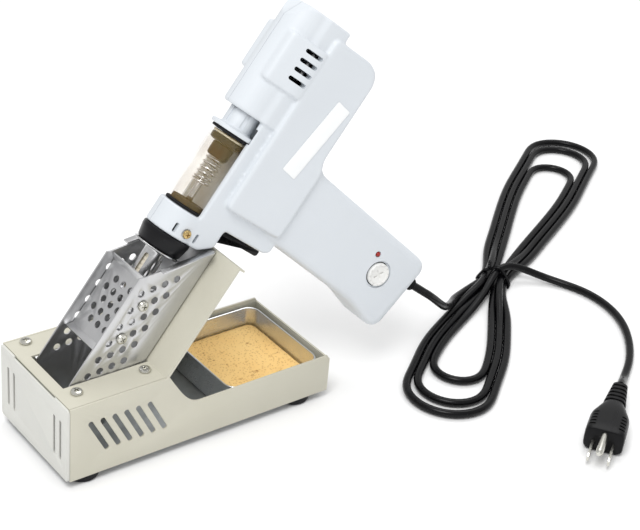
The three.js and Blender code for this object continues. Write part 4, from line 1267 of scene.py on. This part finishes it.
carrier = [(5, 2), (5, 6), (8.0, 6.4), (9.4, 6), (10.2, 5.4), (10.3, 2.4), (10.0, 2), (5, 2)]
cup = [(3.2, 6.6), (3.2, 14), (5.6, 15), (6.6, 14.4), (6.8, 12), (6.8, 7.2), (6.4, 6.6), (3.2, 6.6)]
disc = [(0, 1.7), (9.8, 1.7), (10.3, 1.4), (10.3, 0.6), (9.8, 0.35), (0, 0.35)]
carrier, cup, disc = (from_end(*profile) for profile in (carrier, cup, disc))
spun("filter_carrier", GUN, carrier, "cartridge", black_plastic, "filter_holder", slot="black")
spun("carrier_cup", GUN, cup, "cartridge", black_plastic, slot="black", segments=40)
spun("felt_disc", GUN, disc, "cartridge", felt, "filter_disc", slot="filter")

# %% Release slider and its spring
slider_profile = [
    (4, SLIDER_FACE), (14.1, SLIDER_FACE), (FLANGE_RADIUS, SLIDER_FACE + 0.5),
    (FLANGE_RADIUS, SLIDER_FACE + 2.1), (14.1, SLIDER_FACE + 2.6), (10.4, SLIDER_FACE + 2.8),
    (STEM_RADIUS, SLIDER_FACE + 3.6), (STEM_RADIUS, BLOCK_FRONT + 4), (4, BLOCK_FRONT + 4),
    (4, SLIDER_FACE),
]
slider = shape("slider", GUN, turned(slider_profile, segments=64))
flute = (SLIDER_FACE + 4.6, BLOCK_FRONT + 5, -1.2, 1.2, STEM_RADIUS - 0.7, STEM_RADIUS + 2)
for i in range(6):
    carve(slider, at(GUN, turn=math.pi / 3 * i + 0.2, axis="X"), block(*flute))
round_edges(slider, 0.15, 2, 45)
fit(slider, "slider", housing_plastic, "release_slider", slot="housing")
slider_coil = coil(6.4, BLOCK_FRONT + 5.4, BLOCK_FRONT + 16.6, 4)
pressed_spring("slider_spring", GUN, 1.0, slider_coil, "release_spring")
print("cartridge and slider done")

# %% [markdown]
# ## Trigger and controls
# The trigger is a bar on a short arm, hinged at the front. The dial sits in a round recess of the
# grip, with a raised rim, a screwdriver slot and plain tick marks; the lamp is a small domed
# lens.

# %% Trigger and switch
trigger_arm = [(6.8, -24.9), (6.8, -28.5), (11.6, -28.7)]
trigger_bar = [(12.9, -30.4), (12.9, -60), (14.1, -61.2), (16.9, -61.2), (16.9, -24.9)]
trigger_outline = softened(trigger_arm + trigger_bar, 0.9)
trigger = shape("trigger_bar", GUN, plate(trigger_outline, -4.5, 4.5, "side", 0.9))
fit(trigger, "trigger", black_plastic, "trigger", slot="black")
trigger_coil = coil(2.0, 0.3, 5.1, 4)
behind_trigger = at(GUN, 17.6, 0, -34)
pressed_spring("trigger_coil", behind_trigger, 0.6, trigger_coil, "trigger_spring")

switch_button = block(22.4, 23.8, -2, 2, -50, -46, 0.3)
switch = shape("switch_body", GUN, block(23.5, 31, -4.5, 4.5, -56, -40, 0.5), switch_button)
fit(switch, "gun", black_plastic, "micro_switch", slot="black")

# %% Dial, lamp and label
dial_axes = at(GUN, DIAL.x, 0, DIAL.z)
dial_profile = [
    (0, -8), (1.5, -8), (1.5, -15), (7.2, -15), (7.6, -15.4), (7.6, -17.5), (7.3, -18.0),
    (6.2, -18.0), (5.9, -17.5), (0, -17.3),
]
dial = shape("dial_knob", dial_axes, turned(dial_profile, "y", 64))
slot_cut = block(-3.6, 3.6, -19, -16.4, -0.7, 0.7)
tick_cut = block(-0.3, 0.3, -19, -17.5, 6.1, 7.3)
dial_cuts = [(turn + 0.6, slot_cut) for turn in (0.0, math.pi / 2)]
dial_cuts += [(math.radians(-150 + 30 * i), tick_cut) for i in range(11)]
for turn, cut in dial_cuts:
    carve(dial, at(dial_axes, turn=turn, axis="Y"), cut)
round_edges(dial, 0.1, 2, 45)
fit(dial, "dial", dial_plastic, "dial", slot="dial")

lamp_axes = at(GUN, LAMP[0], 0, LAMP[1])
lens = [(0, -12), (1.5, -12), (1.5, -17.1), (1.3, -17.4), (0.8, -17.6), (0, -17.65)]
spun("lamp_lens", lamp_axes, lens, "gun", lamp_red, "led", slot="led", axis="y", segments=32)

LABEL_TILT = math.radians(8.4)
label_outline = rounded_box_outline(-25.5, 25.5, -5.6, 5.6, 1)
strip = plate(label_outline, -PANEL_HALF - 0.42, -PANEL_HALF - 0.12, "side", 0.08)
label = shape("label_strip", at(GUN, 91, 0, -38.6, LABEL_TILT, "Y"), strip)
fit(label, "gun", label_film, "rating_label", slot="label")

# %% Screws of the housing
place = at(GUN, NOSE_SCREW[0], -NOSE_RADIUS - 0.5, NOSE_SCREW[1], QUARTER_TURN, "X")
screw("nose_screw_brass", place, 2.7, 1.6, 1.2, 4, "gun", brass, "nose_screw", 0.5)
for i, ((along, level), wall_half) in enumerate(HALF_SCREWS):
    place = at(GUN, along, wall_half + GAP, level, -QUARTER_TURN, "X")
    name = f"housing_screw_{i + 1}"
    screw(f"half_screw_{i + 1}", place, 2.9, 1.6, 1.2, 6, "gun", nickel, name, 1.1 * i)
print("controls done")

# %% [markdown]
# ## Inside the gun
# Motor, cam, pump, hose, switch and board show only through the vents and with the housing
# opened, yet each keeps its own shape: a stepped can, a pump block with its spout, a board with
# its parts.

# %% Pump
CAM_LEVEL = -30
spout = [(0, 100.5), (2.4, 100.5), (3, 101.2), (3, 102.4), (2.5, 103), (2.8, 105), (0, 105)]
pump_body = block(104.5, 127, -8.6, 8.6, -6.4, 7.8, 1.2)
pump = shape("pump_block", GUN, pump_body, turned(spout, segments=24))
fit(pump, "gun", black_plastic, "pump_body", slot="black")

# %% Motor, cam and rod
motor_axes = at(GUN, z=CAM_LEVEL)
motor_profile = [
    (1.6, 114.2), (4, 114.2), (4, 115), (11.2, 115), (12, 115.8), (12, 139), (11.6, 139.4),
    (11.6, 142.4), (11, 143), (0, 143), (0, 120), (1.6, 120), (1.6, 114.2),
]
spun("motor_can", motor_axes, motor_profile, "gun", polished, "motor", slot="steel")
shaft = bore(1.2, 106, 119, 20)
cam = plate(circle(0, 1.5, 6, 40), 107.6, 112.4, "front", 0.3)
fit(shape("cam_disc", motor_axes, shaft, cam), "cam", brass, "motor_cam", slot="brass")
eye = turned(pipe_profile(9.3, 11.3, 108, 112, 0.3))
rod_link = shape("pump_link", motor_axes, eye, block(108, 112, -2, 2, 10.6, 21.3, 0.4))
fit(rod_link, "rod", black_plastic, "pump_rod", slot="black")

# %% Hose and board
hose_line = [(along, 0, 0) for along in (100.1, 99, 98, 97.1)]
hose = shape("rubber_hose", GUN, swept(hose_line, [2.6, 2.45, 2.6, 2.4], 20))
fit(hose, "gun", rubber, "vacuum_hose", slot="rubber")

board_parts = [
    block(27, 57, -5.6, -4, -156, -92, 0.2),
    block(31, 41, -4.2, 6, -120, -104, 0.6),
    plate(circle(50, -103, 4.5), -4.2, 6, "side", 0.5),
    plate(circle(DIAL.x, DIAL.z, 5), -10.2, -5, "side", 0.5),
]
board = shape("control_board", GUN, *board_parts)
carve(board, GUN, plate(circle(DIAL.x, DIAL.z, 1.9), -11, -7))
fit(board, "gun", board_green, "circuit_board", slot="board")
print("inside done")

# %% [markdown]
# ## Mains cord
# The cord leaves the grip through a ribbed gland, comes down to the bench and is folded into a
# flat hank, tied in the middle, with its plug laid in front. A hand folds a cord so that each
# loop lies just outside the last. So the strands are laid as a ribbon of seven: flat and side by
# side in the loops, squeezed at the tie until every other strand rides on top. The last strand
# crosses over the rest in a long low hump.

# %% Facts of the cord
CORD_DIAMETER = 5.4
CORD_RADIUS = CORD_DIAMETER / 2
STEP = 3.6  # spacing of the points along the cord
gland_low = min((GUN.inverted() @ v.co).z for v in frame["nodes"]["cord_gland"].data.vertices)
to_stand = STAND.inverted() @ GUN
cord_exit = to_stand @ Vector((GLAND_ALONG, 0, gland_low - GAP))
exit_heading = (to_stand @ Vector((GLAND_ALONG, 0, gland_low - 10)) - cord_exit).normalized()
TIE = Vector((377, 11))
PLUG_START = Vector((352, -138))
PLUG_HEADING = math.atan2(-0.566, -0.825)
PLUG_HALF = 8.5
INNER_FOLD = 16.8
FLAT_PITCH = CORD_DIAMETER * 1.04
TIED_PITCH = CORD_DIAMETER * 0.52
TIED_RISE = math.sqrt((CORD_DIAMETER * 1.02) ** 2 - TIED_PITCH**2)
# each end of the hank: its heading in degrees, and how far its inner, middle and outer folds reach
ENDS = {"upper": (33.0, (190, 222, 231)), "lower": (216.5, (120, 141, 148))}
# how far from the tie each end of the hank takes to reach its full width
SPREAD = {"upper": 168, "lower": 112}
FLAT_BY = 46  # over this length the strands spread from the tie until they lie side by side
DOWN_BY = 52  # and over this one the raised strands come down
LANES = (3, -3, 2, -2, 1, -1)  # where each strand lies in the tie, in the order they are folded


def ease(t):
    t = min(1, max(0, t))
    return t * t * (3 - 2 * t)


def directions(heading):
    """Along a heading in degrees, and square to it on its left."""
    t = math.radians(heading)
    along = Vector((math.cos(t), math.sin(t)))
    return along, Vector((-along.y, along.x))

# %% Strands of the hank
def fan(end, along, rank, left):
    """Distance of a strand from the hank's middle line, and its height."""
    inner_side = left and end == "lower"
    start = 0 if inner_side else TIED_PITCH
    pitch = TIED_PITCH + (FLAT_PITCH - TIED_PITCH) * ease((along - 7) / FLAT_BY)
    u = min(1, along / SPREAD[end])
    base = start + (INNER_FOLD - start) * math.sin(math.pi / 2 * u**1.6)
    raised = rank in (0, 2) if inner_side else rank == 1
    height = TIED_RISE * (1 - ease((along - 10) / DOWN_BY)) if raised else 0
    return base + rank * pitch, CORD_RADIUS + height


def loop(end, rank, out_left):
    """From the tie out along one side, round the fold and back along the other side."""
    heading, reaches = ENDS[end]
    d, n = directions(heading)
    n *= 1 if end == "upper" else -1
    reach = reaches[rank]
    radius = INNER_FOLD + rank * FLAT_PITCH
    first = 1 if out_left else -1

    def spot(along, side):
        across, height = fan(end, along, rank, side > 0)
        flat = TIE + d * along + n * side * across
        return Vector((flat.x, flat.y, height))

    stations = [12 + (reach - 12) * i / 15 for i in range(16)]
    points = [spot(a, first) for a in stations]
    for k in range(1, 12):
        angle = math.pi * k / 12
        flat = TIE + d * (reach + radius * math.sin(angle)) + n * first * radius * math.cos(angle)
        points.append(Vector((flat.x, flat.y, CORD_RADIUS)))
    points += [spot(a, -first) for a in reversed(stations)]
    return points


def tied(lane, raised, outward):
    """A strand inside the tie."""
    d, n = directions(ENDS["upper"][0])
    height = CORD_RADIUS + (TIED_RISE if raised else 0)
    spots = [TIE + d * along * outward + n * lane * TIED_PITCH for along in (-4, 4)]
    return [Vector((s.x, s.y, height)) for s in spots]

# %% Route of the cord
def route():
    """Guide points of the whole cord."""
    points = [cord_exit + exit_heading * reach for reach in (0, 5, 10, 15, 20)]
    points += [Vector(p) for p in LEAD]
    folds = [(rank, end) for rank in (2, 1, 0) for end in ("upper", "lower")]
    for lane, (rank, end) in zip(LANES, folds):
        upper = end == "upper"
        points += tied(lane, rank == 1, 1 if upper else -1)
        points += loop(end, rank, upper)
    points += [Vector(p) for p in TAIL]
    back = Vector((math.cos(PLUG_HEADING), math.sin(PLUG_HEADING), 0))
    start = Vector((PLUG_START.x, PLUG_START.y, PLUG_HALF))
    for distance, drop in ((19, 5.2), (13, 3.6), (7, 1.3), (1, 0)):
        points.append(start - back * distance - Vector((0, 0, drop)))
    return points


LEAD = (
    (286, -27.2, 33.4), (296, -22.8, 24.8), (307, -15.6, 17.3), (319, -7.0, 11.0),
    (331, 1.2, 6.6), (343, 8.0, 3.9), (356, 12.8, CORD_RADIUS),
)
TAIL = (
    (371.5, 7.0, 9.2), (378.0, 9.7, 11.5), (385.2, 10.6, 12.7), (392.8, 9.2, 11.8),
    (400.4, 5.4, 9.2), (407.8, -0.6, 6.2), (414.6, -8.4, 4.0), (420.6, -17.7, 2.9),
    (425.0, -28, CORD_RADIUS), (427.4, -40, CORD_RADIUS), (427.0, -54, CORD_RADIUS),
    (423.5, -68, CORD_RADIUS), (416.5, -82, CORD_RADIUS), (407.0, -95, CORD_RADIUS),
    (395.0, -107.5, CORD_RADIUS), (382.0, -118, CORD_RADIUS),
)

# %% A smooth line that settles
def smooth_line(points, spacing):
    """A Catmull-Rom curve through the points, resampled to an even spacing."""
    p = np.array([tuple(v) for v in points])
    p = np.vstack([2 * p[0] - p[1], p, 2 * p[-1] - p[-2]])
    fine = []
    for i in range(1, len(p) - 2):
        a, b, c, d = p[i - 1], p[i], p[i + 1], p[i + 2]
        for t in np.linspace(0, 1, 16, endpoint=False):
            square = (2 * a - 5 * b + 4 * c - d) * t * t
            cube = (3 * b - a - 3 * c + d) * t**3
            fine.append(0.5 * (2 * b + (c - a) * t + square + cube))
    fine.append(p[-2])
    fine = np.array(fine)
    travelled = np.concatenate([[0], np.cumsum(np.linalg.norm(np.diff(fine, axis=0), axis=1))])
    count = max(2, int(round(travelled[-1] / spacing)))
    marks = np.linspace(0, travelled[-1], count + 1)
    return np.stack([np.interp(marks, travelled, fine[:, k]) for k in range(3)], axis=1)


ROUNDS = 160
EVENING = 0.5  # how fast bends even out, strands stay near their guide, and touching ones part
GUIDING = 0.02
PARTING_PUSH = 0.3
HELD_AT_GLAND = 7
HELD_AT_PLUG = 5
SAME_STRAND = 7  # points this near along the cord belong to one strand


def settle(line, rounds):
    """Evens out the bends and keeps strands a diameter apart and on the bench."""
    n = len(line)
    held = np.zeros((n, 1), bool)
    held[:HELD_AT_GLAND] = True
    held[-HELD_AT_PLUG:] = True
    guide = line.copy()
    order = np.arange(n)
    apart = np.abs(order[:, None] - order[None, :]) > SAME_STRAND
    clear = CORD_DIAMETER * 1.01
    for _ in range(rounds):
        even = line.copy()
        even[2:-2] = (4 * (line[1:-3] + line[3:-1]) - (line[:-4] + line[4:])) / 6
        moved = line + EVENING * (even - line) + GUIDING * (guide - line)
        line = np.where(held, line, moved)
        gap = line[:, None, :] - line[None, :, :]
        distance = np.linalg.norm(gap, axis=2)
        i, j = np.nonzero(np.triu(apart & (distance < clear)))
        if len(i):
            near = distance[i, j]
            push = PARTING_PUSH * ((clear - near) / np.maximum(near, 1e-6))[:, None] * gap[i, j]
            shift = np.zeros_like(line)
            np.add.at(shift, i, push)
            np.add.at(shift, j, -push)
            spread = shift.copy()
            inner = 2 * shift[1:-3] + 3 * shift[2:-2] + 2 * shift[3:-1]
            spread[2:-2] = (shift[:-4] + inner + shift[4:]) / 5
            line = np.where(held, line, line + spread)
        line[:, 2] = np.maximum(line[:, 2], CORD_RADIUS)
    return line


def closest(line):
    """Least distance between two strands."""
    gap = np.linalg.norm(line[:, None, :] - line[None, :, :], axis=2)
    order = np.arange(len(line))
    return gap[np.abs(order[:, None] - order[None, :]) > SAME_STRAND + 1].min()


cord_line = settle(smooth_line(route(), STEP), ROUNDS)
print("strands apart by", round(closest(cord_line), 2), "mm")

# %% Cord
cord_mesh = shape("mains_cord", STAND, swept([Vector(p) for p in cord_line], CORD_RADIUS, 14))
shade(cord_mesh, 60)
cord_mesh.data.materials.append(cord_vinyl)
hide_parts("cord_lead", "cord_hank_lower", "cord_hank_upper", "cord_tail")
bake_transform(cord_mesh)

# %% [markdown]
# ## Gland, tie and plug
# The gland is a rubber sleeve whose ribs let it bend. The bundle is held by a wire tie, twisted
# shut. The plug is moulded: a jointed strain relief, a body that widens to a flat face, two flat
# blades and a round ground pin.

# %% Gland and tie
RIBS = 5
RIBS_TOP = -175.6
gland_head = [(0, -165.4), (5.6, -165.4), (5.6, -167), (4, -167)]
gland_neck = [(4, -172.6), (5.2, -172.8), (5.5, -173.4), (5.4, -175)]
gland_profile = gland_head + gland_neck
pitch = (gland_low - RIBS_TOP) / RIBS
for i in range(RIBS):
    top = RIBS_TOP + (gland_low - RIBS_TOP) * i / RIBS
    outer = 5.2 - 1.2 * i / RIBS
    gland_profile += [(outer - 0.9, top), (outer - 0.9, top + pitch * 0.3)]
    gland_profile += [(outer, top + pitch * 0.42), (outer, top + pitch * 0.9)]
gland_profile += [(3.4, gland_low), (0, gland_low)]
spun(
    "ribbed_gland", at(GUN, GLAND_ALONG), gland_profile, "gun", rubber, "cord_gland",
    slot="black", axis="z", segments=36,
)

TIE_WIRE = 0.8
TWIST_WIRE = 0.7
TIE_REACH = 3.2  # half the length of bundle that the tie covers
BUNDLE_HALF = 16
TIE_TOP = 13.6
TWIST_TURN = 14  # radians


def tie_line():
    """Twice round the bundle, drawn tight over its outer strands."""
    t = math.radians(ENDS["upper"][0])
    d = np.array([math.cos(t), math.sin(t)])
    n = np.array([-d[1], d[0]])
    flat = cord_line[:, :2] - np.array([TIE.x, TIE.y])
    through = (np.abs(flat @ d) < TIE_REACH) & (np.abs(flat @ n) < BUNDLE_HALF)
    strands = np.stack([flat[through] @ n, cord_line[through, 2]], axis=1)
    points = []
    for k in range(81):
        t = 2 * math.pi * k / 40
        out = np.array([math.cos(t), math.sin(t)])
        across, level = strands[np.argmax(strands @ out)] + (CORD_RADIUS + TIE_WIRE + 0.1) * out
        spot = d * (-1.8 + k * 0.045) + n * across
        points.append(Vector((TIE.x + spot[0], TIE.y + spot[1], max(level, TIE_WIRE))))
    return points


tie = shape("wire_tie", STAND, swept(tie_line(), TIE_WIRE, 8))


def twisted_end(side):
    """One of the tie's two wire ends, wound round the other."""
    line = []
    for k in range(25):
        t = k / 24
        angle = TWIST_TURN * t + side * math.pi / 2
        base = Vector((TIE.x - 3 + 3 * t, TIE.y + 3 + 3 * t, TIE_TOP + 9 * t - 6 * t * t))
        line.append(base + Vector((math.cos(angle), math.sin(angle), 0)) * TIE_WIRE)
    return swept(line, TWIST_WIRE, 8)


twist_part = shape("tie_twist", STAND, twisted_end(-1), twisted_end(1))
fit(tie, "stand", cord_vinyl, "cable_tie", slot="black")
fit(twist_part, "stand", cord_vinyl, slot="black")

# %% Plug
PLUG = at(STAND, PLUG_START.x, PLUG_START.y, PLUG_HALF, PLUG_HEADING)


def oval(along, half_width, half_height, square=3.0, steps=28):
    """A ring between an ellipse and a rectangle."""
    ring = []
    for t in around(steps):
        c, s = math.cos(t), math.sin(t)
        y = math.copysign(abs(c) ** (2 / square), c) * half_width
        z = math.copysign(abs(s) ** (2 / square), s) * half_height
        ring.append((along, y, z))
    return ring


relief = [oval(0.2, 3.0, 3.0, 2.2)]
for i in range(5):
    start = 0.8 + 5.1 * i
    width = 3.7 + 0.5 * i
    relief.append(oval(start, width - 0.8, width - 0.9, 2.2))
    relief.append(oval(start + 0.5, width + 1.3, width, 2.8))
    relief.append(oval(start + 2.9, width + 1.5, width + 0.1, 2.8))
    relief.append(oval(start + 3.3, width - 0.6, width - 0.7, 2.2))
# along, half width, half height, squareness
neck = [(24.6, 4.6, 4.4, 2.4), (25.6, 6.2, 5.6, 2.8), (30, 7.8, 6.6, 3.0), (36, 9.8, 7.4, 3.2)]
grip = [(42, 11.9, 8.0, 3.4), (46, 12.4, 8.2, 3.8), (56, 12.5, 8.4, 4.2)]
face = [(64.6, 12.5, 8.5, 4.6), (65.6, 12.1, 8.1, 4.6), (66, 11.4, 7.4, 4.4)]
body_rings = [oval(*ring) for ring in neck + grip + face]
rib = plate(slot_outline((40, 3.2), (64.5, 3.2), 0.45), 6.5, PLUG_HALF - 0.05, "plan", 0.2)
plug = shape("plug_moulding", PLUG, skin(relief), skin(body_rings), rib)
for y in (-9.2, 9.2):
    for along in (46 + 3.6 * k for k in range(5)):
        groove = slot_outline((along, y - 1.4), (along, y + 1.4), 0.7)
        carve(plug, PLUG, plate(groove, 6.6, 9.4, "plan"))
fit(plug, "stand", plug_vinyl, "plug_body", slot="black")

# %% Blades and ground pin
FACE = 66.3
blade_outline = [(0, -6.2), (15.2, -6.2), (17, -4.8), (17, -1.3), (15.2, 0.1), (0, 0.1)]
blade_outline = [(FACE + along, level) for along, level in blade_outline]
for i, y in enumerate((-6.35, 6.35), 1):
    blade = shape(f"blade_{i}", PLUG, plate(blade_outline, y - 0.75, y + 0.75, "side", 0.2))
    carve(blade, PLUG, plate(circle(FACE + 13.2, -3.05, 1.55), y - 2, y + 2))
    fit(blade, "stand", nickel, f"plug_blade_{i}", slot="brass")
pin_profile = [(0, 0), (2.4, 0), (2.4, 17.6), (2.1, 19.4), (1.3, 20.6), (0, 21)]
pin_profile = [(radius, FACE + along) for radius, along in pin_profile]
pin = spun(
    "ground_pin", at(PLUG, z=PLUG_HALF - 4), pin_profile, "stand", nickel, "plug_ground_pin",
    slot="brass", segments=32,
)

# %% Plug and cord finished
print("plug and cord done")

# %% [markdown]
# ## Floor and light
# A pale seamless floor and large soft lights, so that the metal has something bright to reflect.

# %% Floor, lights and world
floor_mesh = bpy.data.meshes.new("floor")
FLOOR_HALF = 6.0
FLOOR_DROP = 0.0004  # just under the feet and the cord
corners = [(x * FLOOR_HALF, y * FLOOR_HALF, 0) for x, y in ((-1, -1), (1, -1), (1, 1), (-1, 1))]
floor_mesh.from_pydata(corners, [], [(0, 1, 2, 3)])
floor = bpy.data.objects.new("floor", floor_mesh)
bpy.context.scene.collection.objects.link(floor)
floor.location.z = -FLOOR_DROP
pale = matte("pale floor", (252, 252, 252), (249, 249, 249), 400, 0.7, 0.001)
floor.data.materials.append(pale)
bpy.context.scene.view_settings.view_transform = "Standard"

ROOM_LIGHT = 0.66
world = bpy.data.worlds.new("studio")
bpy.context.scene.world = world
world.use_nodes = True
background = world.node_tree.nodes["Background"].inputs
background["Color"].default_value = (1, 1, 1, 1)
background["Strength"].default_value = ROOM_LIGHT


def area_light(name, location, target, size, power):
    data = bpy.data.lights.new(name, "AREA")
    data.energy = power
    data.size = size
    lamp = bpy.data.objects.new(name, data)
    bpy.context.scene.collection.objects.link(lamp)
    lamp.location = location
    aim = Vector(target) - Vector(location)
    lamp.rotation_euler = aim.to_track_quat("-Z", "Y").to_euler()


area_light("key", (-0.7, -0.55, 1.6), (0, 0, 0.1), 0.8, 17)
area_light("fill", (0.9, 0.5, 1.7), (0.2, 0, 0.1), 1.2, 10)
